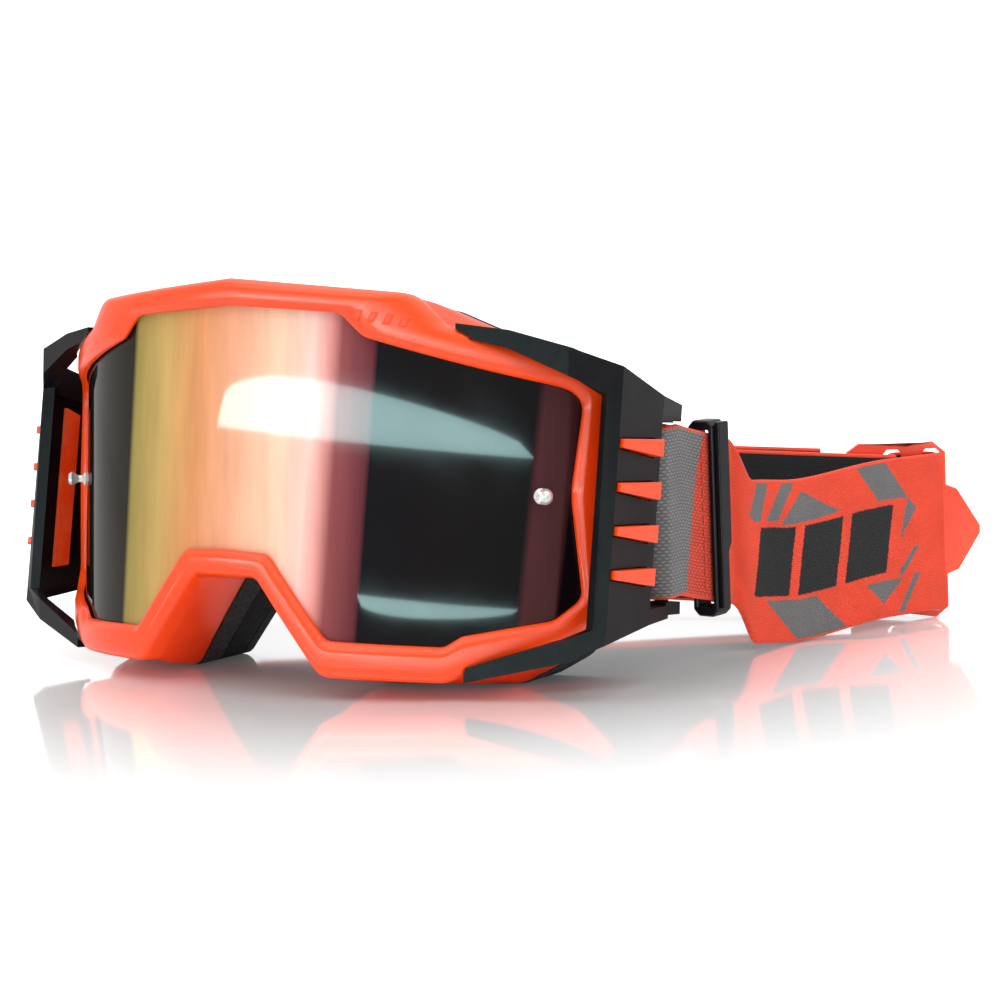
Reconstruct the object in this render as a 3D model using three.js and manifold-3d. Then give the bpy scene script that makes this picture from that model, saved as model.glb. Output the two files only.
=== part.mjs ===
// Sports goggles with outriggers, tear-off posts and an elastic strap that lies folded behind them.
// Millimetres. The frame is modelled upright in its own axes: x to the wearer's left, y away from the
// front, z up, with the origin on the lens at its middle. It is then leaned back and stood on its foam.
// The strap is modelled in the standing axes, with z = 0 on the ground.

import * as THREE from 'three';
import { mergeVertices } from 'three/addons/utils/BufferGeometryUtils.js';
import Module from 'manifold-3d';

const wasm = await Module();
wasm.setup();

// ---- driving dimensions ----

const RAKE = THREE.MathUtils.degToRad(6); // lean of the frame, top away from the front
const REST_HEIGHT = 46.3; // the lens middle above the ground
const CLEAR = 0.35; // gap between pieces that touch

// Lens: a sheet bent about upright lines. Its depth is SAG_2 x^2 + SAG_4 x^4.
const SAG_2 = 2.15e-3;
const SAG_4 = 5e-7;
const LENS_THICKNESS = 1.2;
const LENS_HIDDEN_EDGE = 1.9; // how far the lens reaches under the bezel above and below
const LENS_SIDE_SHARE = 0.4; // and at the sides, as a share of the bezel's width

// Bezel
const LIP_GAP = 0.5; // bezel lip to lens
const BEZEL_CROWN = 2.8; // height of the bezel's front above the lens
const BEZEL_DEPTH = 4.2; // how far its outer wall reaches behind the lens front
const GASKET_DEPTH = BEZEL_DEPTH - 2;
const POST_X = 73.3;
const POST_Z = 2.3;
const POST_SHANK = 1.05; // radius where it passes through the lens
const POST_PLAY = 0.12;
const COLLAR_THICKNESS = 0.9;

// Face frame and foam: the depths behind the lens middle, and how fast each grows towards the sides
const REAR_DEPTH = 19;
const REAR_SAG = 4.4e-3;
const FACE_DEPTH = 40;
const FACE_SAG = 2.4e-3;
const FOAM_GAP = 0.6; // ahead of each foam layer
const FOAM_TAPER = 1.4; // how much narrower each foam layer gets towards the face
const FRAME_WALL = 2.4;
const FLANGE_REACH = 0.8; // how far the frame's rear flange backs the foam, as a share of the way in

// Outrigger
const PANEL_X = 93.4; // outer face of the side panel at its front edge
const PANEL_FRONT_Y = 27.4;
const PANEL_REAR_X = 91.2;
const PANEL_REAR_Y = 49;
const ARM_END_X = 88.6;
const ARM_END_Y = 61.5;
const OUTRIGGER_WALL = 3;
const OUTRIGGER_LEAN = 0.09; // the panel leans back more than the frame, about this height
const LEAN_PIVOT_Z = 12;
const TIP_X = 57; // where its arms meet the bezel
const TIP_Y = 10.2;
const BORDER = 3.4; // the raised band in front of the panel
const LUG_HEIGHT = 3;
const BAR_END = 2.3; // bar beyond the strap at each end
const LINER_THICKNESS = 1;
const RIB_COUNT = 4;
const RIB_SPACING = 10;
const RIB_TOP_Z = 16;
const RIB_PROUD = 2.8;
const RIB_FRONT_HEIGHT = 2;
const RIB_REAR_HEIGHT = 4.2;
const RIB_LENGTH = 17.5;
const RIB_INSET = 0.6;
const RIB_SEAT = 1.2; // how deep a rib sits in the panel

// Strap
const STRAP_WIDTH = 41.5;
const STRAP_THICKNESS = 1.6;
const BAR_RADIUS = 1.7;
const BAR_X = 85.6;
const BAR_Y = 57;
const END_LOOP_BASE_Z = 18; // bottom edge of the strap at the outriggers
const STRAP_DROOP = 0.25; // how fast the strap sinks as it leaves an outrigger
const DROOP_START = 6; // from the bar
const FOLD_LIFT = 1.2; // the near run's lower edge above the ground at the fold
const RUN_BASE_Z = 0.05; // bottom edge of the strap where it rests on the ground
const LOOP_GAP = 0.4; // strap to bar, left
const OPEN_LOOP_GAP = 1.5; // strap to bar, right: the loop that closes the linkage
const FOLD_X = 87.6;
const FOLD_Y = 90.5;
const FOLD_GAP = 0.5;
const NEAR_RUN_START = 0.6; // the near run starts this far past the fold
const SETTLE_LENGTH = 16;
const LAYER_PITCH = 2.1; // between the two layers of a doubled strap
const BUNDLE = LAYER_PITCH + STRAP_THICKNESS;
const LOOP_JOIN = 10.5; // the two layers lie together from here on
const FAR_RUN_LIFT = 4.3; // the far run's middle in front of the buckle plate
const TAIL_START = 20; // from the rear buckle
const TAIL_LENGTH = 105;
const TAIL_GAP_REAR = 9; // behind the far run, at the buckle end
const TAIL_GAP_FRONT = 3.5;

// Slider
const SLIDER_LENGTH = 6;
const SLIDER_WALL = 1.5;
const SLIDER_RIM = 2.4;
const SLIDER_PLACE = 21.5; // from the bar
const RIGHT_TURN_X = -62; // where the far run turns towards the right outrigger
const RIGHT_TURN_Y = 79;

// Rear buckle: a flat plate, in its own axes: u along it, w out of its front, origin on the middle bar
const BUCKLE_X = 108.8;
const BUCKLE_Y = 145.6;
const BUCKLE_ANGLE = THREE.MathUtils.degToRad(30);
const BUCKLE_THICKNESS = 3;
const BUCKLE_HEIGHT = STRAP_WIDTH + 5.1;
const BUCKLE_FRONT_W = -4.5; // the plate's front face
const SLOT_WIDTH = 4.6;
const SLOT_HEIGHT = STRAP_WIDTH + 1.7;
const MIDDLE_BAR = 5.4;
const BUCKLE_REACH_LEFT = 17;
const BUCKLE_REACH_RIGHT = 8.8;
const BUCKLE_TIP = 8.6;

// ---- colours ----

const ORANGE = 0xff4a12;
const STRAP_ORANGE = 0xff5a3c;
const BLACK = 0x17171a;
const SATIN_BLACK = 0x26262a;

const goggles = new THREE.Group();
const frame = new THREE.Group();
frame.rotation.x = -RAKE;
frame.position.z = REST_HEIGHT;
goggles.add(frame);

// ---- helpers ----

function standingToFrame(point) {
  frame.updateMatrixWorld(true);
  return frame.worldToLocal(point.clone());
}

function addPiece(group, name, geometry, color, roughness = 0.5, metalness = 0) {
  const material = new THREE.MeshStandardMaterial({ color, roughness, metalness });
  const mesh = new THREE.Mesh(geometry, material);
  mesh.name = name;
  group.add(mesh);
  return mesh;
}

function toManifold(geometry) {
  const plain = geometry.clone();
  for (const attribute of ['normal', 'uv']) plain.deleteAttribute(attribute);
  const merged = mergeVertices(plain, 1e-4);
  return new wasm.Manifold(new wasm.Mesh({
    numProp: 3,
    vertProperties: new Float32Array(merged.attributes.position.array),
    triVerts: new Uint32Array(merged.index.array),
  }));
}

function toGeometry(manifold) {
  const mesh = manifold.getMesh();
  const geometry = new THREE.BufferGeometry();
  geometry.setAttribute('position', new THREE.BufferAttribute(new Float32Array(mesh.vertProperties), 3));
  geometry.setIndex(Array.from(mesh.triVerts));
  geometry.computeVertexNormals();
  return geometry;
}

function geometryFrom(points, triangles) {
  const geometry = new THREE.BufferGeometry();
  geometry.setFromPoints(points);
  geometry.setIndex(triangles);
  geometry.computeVertexNormals();
  return geometry;
}

// A closed ring: loops of the same number of points, in order round the ring's section.
function ringSolid(loops) {
  const count = loops[0].length;
  const triangles = [];
  for (let k = 0; k < loops.length; k++) {
    const next = (k + 1) % loops.length;
    for (let i = 0; i < count; i++) {
      const j = (i + 1) % count;
      const [a, b, c, d] = [k * count + i, k * count + j, next * count + j, next * count + i];
      triangles.push(a, b, c, a, c, d);
    }
  }
  return geometryFrom(loops.flat(), triangles);
}

function mirrored(geometry) {
  const copy = geometry.clone();
  copy.scale(-1, 1, 1);
  const index = copy.index ?? mergeVertices(copy).index;
  const flipped = [];
  for (let i = 0; i < index.count; i += 3) {
    flipped.push(index.getX(i), index.getX(i + 2), index.getX(i + 1));
  }
  copy.setIndex(flipped);
  return copy;
}

// ---- outlines: the right half from the top middle round to the bottom middle, as x, z and radius ----

const OPENING = {
  top: 46,
  bottom: -12.4,
  corners: [[32, 44, 5], [38, 38.4, 6], [79.6, 26.6, 6], [77.8, 3, 40], [79.8, -21.5, 5], [75.6, -26.6, 4],
    [60, -30.4, 3], [56.6, -33, 3], [29.6, -32.7, 4], [13, -13, 4]],
};
const BEZEL_OUTER = {
  top: 52.6,
  bottom: -19,
  corners: [[49, 48.6, 8], [56, 41.4, 5], [82.4, 33, 6], [82.6, 3, 40], [82.6, -24.5, 6], [78, -32.4, 6],
    [61, -39.6, 4], [57, -41.4, 4], [28.2, -41.4, 5], [9.7, -19, 4]],
};

const FACE_OPENING = {
  top: 36,
  bottom: -8.5,
  corners: [[30, 35, 6], [35.5, 31, 6], [70, 21.5, 8], [69, 2, 40], [70.5, -18, 6], [67, -23.5, 5],
    [58, -27, 4], [55, -28.8, 4], [34, -28.5, 5], [17, -8.5, 5]],
};

// The foam's underside lies along the ground, so its height depends on how far back it is.
function groundLine(y) {
  return (-REST_HEIGHT + y * Math.sin(RAKE)) / Math.cos(RAKE);
}

function foamOutline(inset, depthAt) {
  const bottom = (x) => groundLine(depthAt(x));
  return {
    top: 48 - inset,
    bottom: -20,
    corners: [[46, 46 - inset, 8], [55, 42 - inset, 5], [80 - inset, 32 - inset, 8], [81 - inset, 3, 40],
      [79 - inset, -26, 8], [73, bottom(73) + 6, 8], [63, bottom(63), 6], [57, bottom(57), 5],
      [29, bottom(29), 5], [10.5, -20, 5]],
  };
}

const ARC_STEPS = 3;
const EDGE_STEP = 7;

function halfCorners(outline) {
  return [[0, outline.top, 0], ...outline.corners, [0, outline.bottom, 0]];
}

const EDGE_COUNTS = halfCorners(OPENING).slice(1).map((corner, i) => {
  const [x, z] = halfCorners(OPENING)[i];
  return Math.max(1, Math.round(Math.hypot(corner[0] - x, corner[1] - z) / EDGE_STEP));
});

// The closed outline as points; every outline has the same number of points in matching places.
function outlinePoints(outline) {
  const corners = halfCorners(outline).map(([x, z, r]) => ({ at: new THREE.Vector2(x, z), r }));
  const spots = corners.map((corner, i) => {
    if (corner.r === 0) return { enter: corner.at, leave: corner.at };
    const back = corners[i - 1].at.clone().sub(corner.at);
    const ahead = corners[i + 1].at.clone().sub(corner.at);
    const turn = Math.PI - back.angleTo(ahead);
    const reach = Math.min(corner.r * Math.tan(turn / 2), 0.45 * back.length(), 0.45 * ahead.length());
    return {
      enter: corner.at.clone().add(back.setLength(reach)),
      leave: corner.at.clone().add(ahead.setLength(reach)),
    };
  });
  const half = [];
  for (let i = 0; i + 1 < corners.length; i++) {
    for (let step = 0; step < EDGE_COUNTS[i]; step++) {
      half.push(spots[i].leave.clone().lerp(spots[i + 1].enter, step / EDGE_COUNTS[i]));
    }
    if (i + 2 === corners.length) break;
    const curve = new THREE.QuadraticBezierCurve(spots[i + 1].enter, corners[i + 1].at, spots[i + 1].leave);
    for (let step = 0; step < ARC_STEPS; step++) half.push(curve.getPoint(step / ARC_STEPS));
  }
  half.push(corners.at(-1).at.clone());
  const left = half.slice(1, -1).reverse().map((p) => new THREE.Vector2(-p.x, p.y));
  return [...half, ...left];
}

function lensY(x) {
  return SAG_2 * x * x + SAG_4 * x ** 4;
}

// A point 'out' millimetres in front of the lens, measured square to it.
function onLens(x, z, out) {
  const slope = 2 * SAG_2 * x + 4 * SAG_4 * x ** 3;
  const length = Math.hypot(1, slope);
  return new THREE.Vector3(x + (out * slope) / length, lensY(x) - out / length, z);
}

const opening = outlinePoints(OPENING);
const bezelOuter = outlinePoints(BEZEL_OUTER);
const faceOpening = outlinePoints(FACE_OPENING);
const rearY = (x) => REAR_DEPTH + REAR_SAG * x * x;
const faceY = (x) => FACE_DEPTH + FACE_SAG * x * x;

function between(inner, outer, share) {
  return inner.map((p, i) => p.clone().lerp(outer[i], share));
}

function loopOnLens(points, out) {
  return points.map((p) => onLens(p.x, p.y, out));
}

function loopAtDepth(points, depthAt) {
  return points.map((p) => new THREE.Vector3(p.x, depthAt(p.x), p.y));
}

// ---- front: bezel, lens, gasket ----

function bezelGeometry() {
  const section = [
    [0, LIP_GAP], [0.02, 1.4], [0.2, BEZEL_CROWN - 0.2], [0.5, BEZEL_CROWN], [0.82, BEZEL_CROWN - 0.3],
    [1, 1], [1, -BEZEL_DEPTH], [0.8, -BEZEL_DEPTH], [0.74, LIP_GAP],
  ];
  return ringSolid(section.map(([share, out]) => loopOnLens(between(opening, bezelOuter, share), out)));
}

function gasketGeometry() {
  const front = -LENS_THICKNESS - CLEAR;
  const section = [[0.04, front], [0.6, front], [0.6, front - GASKET_DEPTH], [0.04, front - GASKET_DEPTH]];
  return ringSolid(section.map(([share, out]) => loopOnLens(between(opening, bezelOuter, share), out)));
}

// The lowest and highest z where the upright line at x crosses an outline.
function spanAt(points, x) {
  let low = Infinity;
  let high = -Infinity;
  points.forEach((a, i) => {
    const b = points[(i + 1) % points.length];
    if ((a.x - x) * (b.x - x) > 0 || a.x === b.x) return;
    const z = a.y + ((b.y - a.y) * (x - a.x)) / (b.x - a.x);
    low = Math.min(low, z);
    high = Math.max(high, z);
  });
  return [low, high];
}

function lensGeometry() {
  const columns = 56;
  const side = (outline) => Math.max(...outline.map((p) => p.x));
  const reach = THREE.MathUtils.lerp(side(opening), side(bezelOuter), LENS_SIDE_SHARE);
  const points = [];
  for (let i = 0; i <= columns; i++) {
    const x = reach * Math.sin(((i / columns) * 2 - 1) * (Math.PI / 2));
    const inside = THREE.MathUtils.clamp(x, -side(opening) + 0.5, side(opening) - 0.5);
    const [low, high] = spanAt(opening, inside);
    for (const out of [0, -LENS_THICKNESS]) {
      points.push(onLens(x, low - LENS_HIDDEN_EDGE, out), onLens(x, high + LENS_HIDDEN_EDGE, out));
    }
  }
  const triangles = [];
  const quad = (a, b, c, d) => triangles.push(a, b, c, a, c, d);
  for (let i = 0; i < columns; i++) {
    const [a, b] = [4 * i, 4 * i + 4];
    quad(a, b, b + 1, a + 1);
    quad(a + 2, a + 3, b + 3, b + 2);
    quad(a + 1, b + 1, b + 3, a + 3);
    quad(a, a + 2, b + 2, b);
  }
  quad(0, 1, 3, 2);
  const end = 4 * columns;
  quad(end, end + 2, end + 3, end + 1);
  return geometryFrom(points, triangles);
}

// ---- body: face frame and foam ----

const rearOutline = outlinePoints(foamOutline(0, rearY));

function faceFrameGeometry() {
  const front = -BEZEL_DEPTH - CLEAR;
  const outerFront = loopOnLens(between(opening, bezelOuter, 0.94), front);
  const innerFront = loopOnLens(between(opening, bezelOuter, 0.5), front);
  const middleDepth = (x) => 0.5 * (rearY(x) + lensY(x));
  const outerMiddle = loopAtDepth(between(bezelOuter, rearOutline, 0.5), middleDepth);
  const outerRear = loopAtDepth(between(opening, rearOutline, 0.98), rearY);
  const innerRear = loopAtDepth(between(opening, faceOpening, FLANGE_REACH), rearY);
  const innerStep = loopAtDepth(between(opening, faceOpening, FLANGE_REACH), (x) => rearY(x) - FRAME_WALL);
  const innerWall = loopAtDepth(between(opening, rearOutline, 0.66), (x) => rearY(x) - FRAME_WALL);
  return ringSolid([innerFront, outerFront, outerMiddle, outerRear, innerRear, innerStep, innerWall]);
}

// One foam layer between two shares of the way from the face frame to the face.
function foamGeometry(from, to, inset) {
  const depth = (share, gap) => (x) => rearY(x) + gap + (faceY(x) - rearY(x) - gap) * share;
  const [front, rear] = [depth(from, FOAM_GAP), depth(to, 0)];
  const outerFront = outlinePoints(foamOutline(inset, front));
  const outerRear = outlinePoints(foamOutline(inset + FOAM_TAPER, rear));
  return ringSolid([
    loopAtDepth(faceOpening, front),
    loopAtDepth(outerFront, front),
    loopAtDepth(outerRear, rear),
    loopAtDepth(faceOpening, rear),
  ]);
}

addPiece(frame, 'front_bezel', bezelGeometry(), ORANGE, 0.3);
addPiece(frame, 'lens_gasket', gasketGeometry(), BLACK, 0.8);
addPiece(frame, 'face_frame', faceFrameGeometry(), ORANGE, 0.45);
addPiece(frame, 'foam_base', foamGeometry(0, 0.36, 0), 0x3a393d, 1);
addPiece(frame, 'foam_middle', foamGeometry(0.38, 0.82, FOAM_TAPER), BLACK, 1);
addPiece(frame, 'foam_face', foamGeometry(0.84, 1, 2 * FOAM_TAPER), 0x2c2c30, 1);

// The space that the bezel and the face frame fill, grown by the clearance: outriggers are cut back to it.
function frameEnvelope() {
  const grown = CLEAR / 6; // outlines are about 6 mm apart, so this share of them is the clearance
  const front = ringSolid([
    loopOnLens(between(opening, bezelOuter, 0.3), BEZEL_CROWN + CLEAR),
    loopOnLens(between(opening, bezelOuter, 0.85), BEZEL_CROWN + CLEAR),
    loopOnLens(between(opening, bezelOuter, 1 + grown), 1.4),
    loopOnLens(between(opening, bezelOuter, 1 + grown), -BEZEL_DEPTH - CLEAR / 2),
    loopOnLens(between(opening, bezelOuter, 0.3), -BEZEL_DEPTH - CLEAR / 2),
  ]);
  const middleDepth = (x) => 0.5 * (rearY(x) + lensY(x));
  const rear = ringSolid([
    loopOnLens(between(opening, bezelOuter, 0.3), 0),
    loopOnLens(between(opening, bezelOuter, 1 + grown), 0),
    loopAtDepth(between(opening, between(bezelOuter, rearOutline, 0.5), 1 + grown), middleDepth),
    loopAtDepth(between(opening, rearOutline, 1 + grown), (x) => rearY(x) + CLEAR),
    loopAtDepth(between(opening, rearOutline, 0.3), (x) => rearY(x) + CLEAR),
  ]);
  return toManifold(front).add(toManifold(rear));
}

// ---- tear-off posts: a waisted pin through the lens, held by a collar behind it ----

function lathe(profile) {
  return new THREE.LatheGeometry(profile.map(([r, h]) => new THREE.Vector2(r, h)), 16);
}

function postGeometry() {
  const rear = -LENS_THICKNESS - CLEAR - COLLAR_THICKNESS - 0.5;
  return lathe([[0, rear], [POST_SHANK, rear], [POST_SHANK, CLEAR], [1.9, CLEAR], [1.9, 0.9], [0.9, 1.6],
    [0.9, 2.4], [1.3, 3.2], [1.9, 4.2], [1.3, 5], [0, 5.2]]);
}

function collarGeometry() {
  const front = -LENS_THICKNESS - CLEAR;
  const [inner, outer] = [POST_SHANK + POST_PLAY, POST_SHANK + 1.2];
  const rear = front - COLLAR_THICKNESS;
  return lathe([[inner, rear], [outer, rear], [outer, front], [inner, front], [inner, rear]]);
}

// Stands a turned piece on the lens at a post's place, its axis square to the lens.
function standOnLens(geometry, side) {
  const foot = onLens(side * POST_X, POST_Z, 0);
  const outward = onLens(side * POST_X, POST_Z, 1).sub(foot).normalize();
  geometry.applyQuaternion(new THREE.Quaternion().setFromUnitVectors(new THREE.Vector3(0, 1, 0), outward));
  return geometry.translate(foot.x, foot.y, foot.z);
}

function drilledLensGeometry() {
  let lens = toManifold(lensGeometry());
  for (const side of [1, -1]) {
    const drill = new THREE.CylinderGeometry(POST_SHANK + POST_PLAY, POST_SHANK + POST_PLAY, 6, 16);
    lens = lens.subtract(toManifold(standOnLens(drill, side)));
  }
  return toGeometry(lens);
}

addPiece(frame, 'lens', drilledLensGeometry(), 0xd98a60, 0.1, 0.6);
for (const [name, side] of [['left', 1], ['right', -1]]) {
  addPiece(frame, `${name}_tearoff_post`, standOnLens(postGeometry(), side), 0xd8dade, 0.15, 0.4);
  addPiece(frame, `${name}_post_collar`, standOnLens(collarGeometry(), side), SATIN_BLACK, 0.4);
}

// ---- outriggers: a bowed plate beside the frame, drawn flat and bent round a plan curve ----

const outriggerPath = new THREE.CurvePath();
const PLAN = [[TIP_X, TIP_Y], [PANEL_X - 9, PANEL_FRONT_Y - 7.5], [PANEL_X, PANEL_FRONT_Y],
  [PANEL_REAR_X, PANEL_REAR_Y], [ARM_END_X, ARM_END_Y]].map(([x, y]) => new THREE.Vector3(x, y, 0));
for (let i = 0; i + 1 < PLAN.length; i++) outriggerPath.add(new THREE.LineCurve3(PLAN[i], PLAN[i + 1]));
const PLAN_LENGTHS = outriggerPath.getCurveLengths();
const [SHOULDER_D, PANEL_D, PANEL_END_D, ARM_D] = PLAN_LENGTHS;

// A point on the outrigger: d along its plan curve, z up, 'out' from its outer face.
function onOutrigger(d, z, out) {
  const along = THREE.MathUtils.clamp(d, 0, ARM_D);
  const leg = Math.max(0, PLAN_LENGTHS.findIndex((length) => along <= length + 1e-6));
  const start = leg === 0 ? 0 : PLAN_LENGTHS[leg - 1];
  const direction = PLAN[leg + 1].clone().sub(PLAN[leg]).normalize();
  const point = PLAN[leg].clone().addScaledVector(direction, along - start);
  const normals = PLAN.slice(0, -1).map((p, i) => PLAN[i + 1].clone().sub(p).normalize())
    .map((t) => new THREE.Vector3(t.y, -t.x, 0));
  const share = (along - start) / (PLAN_LENGTHS[leg] - start);
  const before = normals[Math.max(leg - 1, 0)].clone().add(normals[leg]).normalize();
  const after = normals[Math.min(leg + 1, normals.length - 1)].clone().add(normals[leg]).normalize();
  const normal = before.lerp(after, share).normalize();
  point.addScaledVector(normal, out);
  return new THREE.Vector3(point.x, point.y, z);
}

// The lean grows from nothing at the shoulder to its full amount at the panel.
function leaned(manifold) {
  return manifold.warp((point) => {
    const share = THREE.MathUtils.smoothstep(point[1], PLAN[1].y, PLAN[2].y);
    point[1] += share * OUTRIGGER_LEAN * (point[2] - LEAN_PIVOT_Z);
  });
}

// The bow's upper and lower arms and the panel between them, each a run of square sections.
function outriggerStrip(sections, wall) {
  const points = [];
  const triangles = [];
  sections.forEach(([d, low, high, out = 0]) => {
    points.push(onOutrigger(d, low, out), onOutrigger(d, high, out));
    points.push(onOutrigger(d, high, out - wall), onOutrigger(d, low, out - wall));
  });
  for (let i = 0; i + 1 < sections.length; i++) {
    for (let k = 0; k < 4; k++) {
      const [a, b] = [4 * i + k, 4 * i + ((k + 1) % 4)];
      triangles.push(a, a + 4, b + 4, a, b + 4, b);
    }
  }
  const end = 4 * (sections.length - 1);
  triangles.push(0, 1, 2, 0, 2, 3, end, end + 2, end + 1, end, end + 3, end + 2);
  return geometryFrom(points, triangles);
}

function barGeometry() {
  const low = standingToFrame(new THREE.Vector3(BAR_X, BAR_Y, END_LOOP_BASE_Z - BAR_END));
  const high = standingToFrame(new THREE.Vector3(BAR_X, BAR_Y, END_LOOP_BASE_Z + STRAP_WIDTH + BAR_END));
  const bar = new THREE.CylinderGeometry(BAR_RADIUS, BAR_RADIUS, low.distanceTo(high), 12);
  bar.applyQuaternion(new THREE.Quaternion().setFromUnitVectors(new THREE.Vector3(0, 1, 0),
    high.clone().sub(low).normalize()));
  bar.translate(...low.add(high).multiplyScalar(0.5).toArray());
  return bar;
}

function lugGeometry(base) {
  const height = LUG_HEIGHT;
  const lug = new THREE.BoxGeometry(ARM_END_X - BAR_X + 2 * BAR_RADIUS, 2 * BAR_RADIUS + 3, height);
  lug.translate((ARM_END_X + BAR_X) / 2 - OUTRIGGER_WALL / 2, 0, 0);
  const at = standingToFrame(new THREE.Vector3(0, BAR_Y, base));
  lug.translate(0, at.y, at.z);
  return lug;
}

const ARM_Z = STRAP_WIDTH - 21.3; // lower edge of the upper arm, just above the strap

function outriggerGeometry() {
  const upper = [[SHOULDER_D * 0.07, 38.8, 41.8], [SHOULDER_D * 0.5, 36.2, 40.4], [SHOULDER_D, 30, 36.6],
    [PANEL_D, ARM_Z + 4.3, ARM_Z + 12.3], [PANEL_END_D, ARM_Z, ARM_Z + 6], [ARM_D, ARM_Z, ARM_Z + 4]];
  const lower = [[SHOULDER_D * 0.19, -41, -37.6], [SHOULDER_D * 0.5, -39, -34.6], [SHOULDER_D, -35.4, -30],
    [PANEL_D, -31, -26.5], [PANEL_END_D, -27.6, -24], [ARM_D, -26.8, -23.6]];
  const panel = [[PANEL_D, -27.6, ARM_Z + 5.2], [PANEL_END_D, -24.8, ARM_Z + 0.4]];
  const band = [[PANEL_D - BORDER, -30.4, ARM_Z + 7.6], [PANEL_D, -28.6, ARM_Z + 6]];
  const lugs = [END_LOOP_BASE_Z - BAR_END, END_LOOP_BASE_Z + STRAP_WIDTH + BAR_END].map(lugGeometry);
  let body = toManifold(outriggerStrip(upper, OUTRIGGER_WALL + 1.6));
  for (const sections of [lower, panel, band]) {
    body = body.add(toManifold(outriggerStrip(sections, OUTRIGGER_WALL)));
  }
  for (let i = 0; i < RIB_COUNT; i++) body = body.subtract(ribManifold(i, CLEAR));
  body = leaned(body);
  for (const piece of [barGeometry(), ...lugs]) body = body.add(toManifold(piece));
  body = body.subtract(frameEnvelope());
  return toGeometry(body);
}

// A wedge set into the panel: thin at the front, deep at the rear, level on top.
function ribManifold(index, grow) {
  const top = RIB_TOP_Z - index * RIB_SPACING;
  const start = PANEL_D + RIB_INSET - grow;
  const end = start + RIB_LENGTH + 2 * grow;
  const depth = RIB_PROUD + RIB_SEAT + grow;
  return toManifold(outriggerStrip([
    [start, top - RIB_FRONT_HEIGHT - grow, top + grow, RIB_PROUD * 0.6],
    [end, top - RIB_REAR_HEIGHT - grow, top + grow, RIB_PROUD],
  ], depth));
}

function linerGeometry() {
  return outriggerStrip([
    [PANEL_D + 4, -22, 21, -OUTRIGGER_WALL - CLEAR],
    [PANEL_D + 9, -21.5, 19, -OUTRIGGER_WALL - CLEAR],
  ], LINER_THICKNESS);
}

for (const side of ['left', 'right']) {
  const place = (geometry) => (side === 'left' ? geometry : mirrored(geometry));
  addPiece(frame, `${side}_outrigger`, place(outriggerGeometry()), SATIN_BLACK, 0.35);
  const liner = toGeometry(leaned(toManifold(linerGeometry())));
  addPiece(frame, `${side}_outrigger_liner`, place(liner), ORANGE, 0.4);
  for (let i = 0; i < RIB_COUNT; i++) {
    const rib = toGeometry(leaned(ribManifold(i, 0)));
    addPiece(frame, `${side}_outrigger_rib_${i + 1}`, place(rib), ORANGE, 0.3);
  }
}

// ---- strap: bands that stand on edge, drawn in plan and extruded by the strap's width ----

// The outline of a band of even thickness along plan points, left side out and right side back.
function bandShape(points, thickness) {
  const offset = (sign) => points.map((p, i) => {
    const before = points[Math.max(i - 1, 0)];
    const after = points[Math.min(i + 1, points.length - 1)];
    const into = (i === 0 ? after.clone().sub(p) : p.clone().sub(before)).normalize();
    const outOf = (i === points.length - 1 ? p.clone().sub(before) : after.clone().sub(p)).normalize();
    const normal = new THREE.Vector2(-into.y - outOf.y, into.x + outOf.x).normalize();
    const miter = (sign * thickness) / 2 / Math.max(0.5, normal.dot(new THREE.Vector2(-into.y, into.x)));
    return p.clone().addScaledVector(normal, miter);
  });
  return new THREE.Shape([...offset(-1), ...offset(1).reverse()]);
}

function bandGeometry(points, thickness, base, drop = () => 0) {
  const geometry = new THREE.ExtrudeGeometry(bandShape(points, thickness), {
    depth: STRAP_WIDTH, bevelEnabled: false,
  });
  const position = geometry.attributes.position;
  for (let i = 0; i < position.count; i++) {
    position.setZ(i, position.getZ(i) + base + drop(position.getX(i), position.getY(i)));
  }
  geometry.computeVertexNormals();
  return geometry;
}

// The end loop round an outrigger bar: up one side, round the bar, and back, closed by a joined tail.
function endLoopPoints(bar, direction, length, gap) {
  const radius = BAR_RADIUS + gap + STRAP_THICKNESS / 2;
  const side = new THREE.Vector2(-direction.y, direction.x);
  const layer = (distance, sign) => bar.clone().addScaledVector(direction, distance)
    .addScaledVector(side, (sign * LAYER_PITCH) / 2);
  const points = [layer(length, 1), layer(LOOP_JOIN, 1)];
  const wrap = 10;
  for (let i = 0; i <= wrap; i++) {
    const angle = (i / wrap) * Math.PI;
    points.push(bar.clone().addScaledVector(side, radius * Math.cos(angle))
      .addScaledVector(direction, -radius * Math.sin(angle)));
  }
  points.push(layer(LOOP_JOIN, -1), layer(length, -1));
  return points;
}

// How far the strap has sunk at a distance from a bar.
function droopAt(distance) {
  return -STRAP_DROOP * Math.max(0, distance - DROOP_START);
}

function droop(bar, direction) {
  return (x, y) => droopAt(new THREE.Vector2(x, y).sub(bar).dot(direction));
}

const leftBar = new THREE.Vector2(BAR_X, BAR_Y);
const rightBar = new THREE.Vector2(-BAR_X, BAR_Y);
const fold = new THREE.Vector2(FOLD_X, FOLD_Y);
const leftDirection = fold.clone().sub(leftBar).normalize();
const leftLoopLength = fold.distanceTo(leftBar) - FOLD_GAP;

// The rear buckle's own axes: u along the plate, w out of its front.
const buckleAlong = new THREE.Vector2(Math.cos(BUCKLE_ANGLE), Math.sin(BUCKLE_ANGLE));
const buckleOut = new THREE.Vector2(Math.sin(BUCKLE_ANGLE), -Math.cos(BUCKLE_ANGLE));
function onBuckle(u, w) {
  return new THREE.Vector2(BUCKLE_X, BUCKLE_Y).addScaledVector(buckleAlong, u).addScaledVector(buckleOut, w);
}

const slotU = (MIDDLE_BAR + SLOT_WIDTH) / 2;
const plateBackW = BUCKLE_FRONT_W - BUCKLE_THICKNESS;

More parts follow.
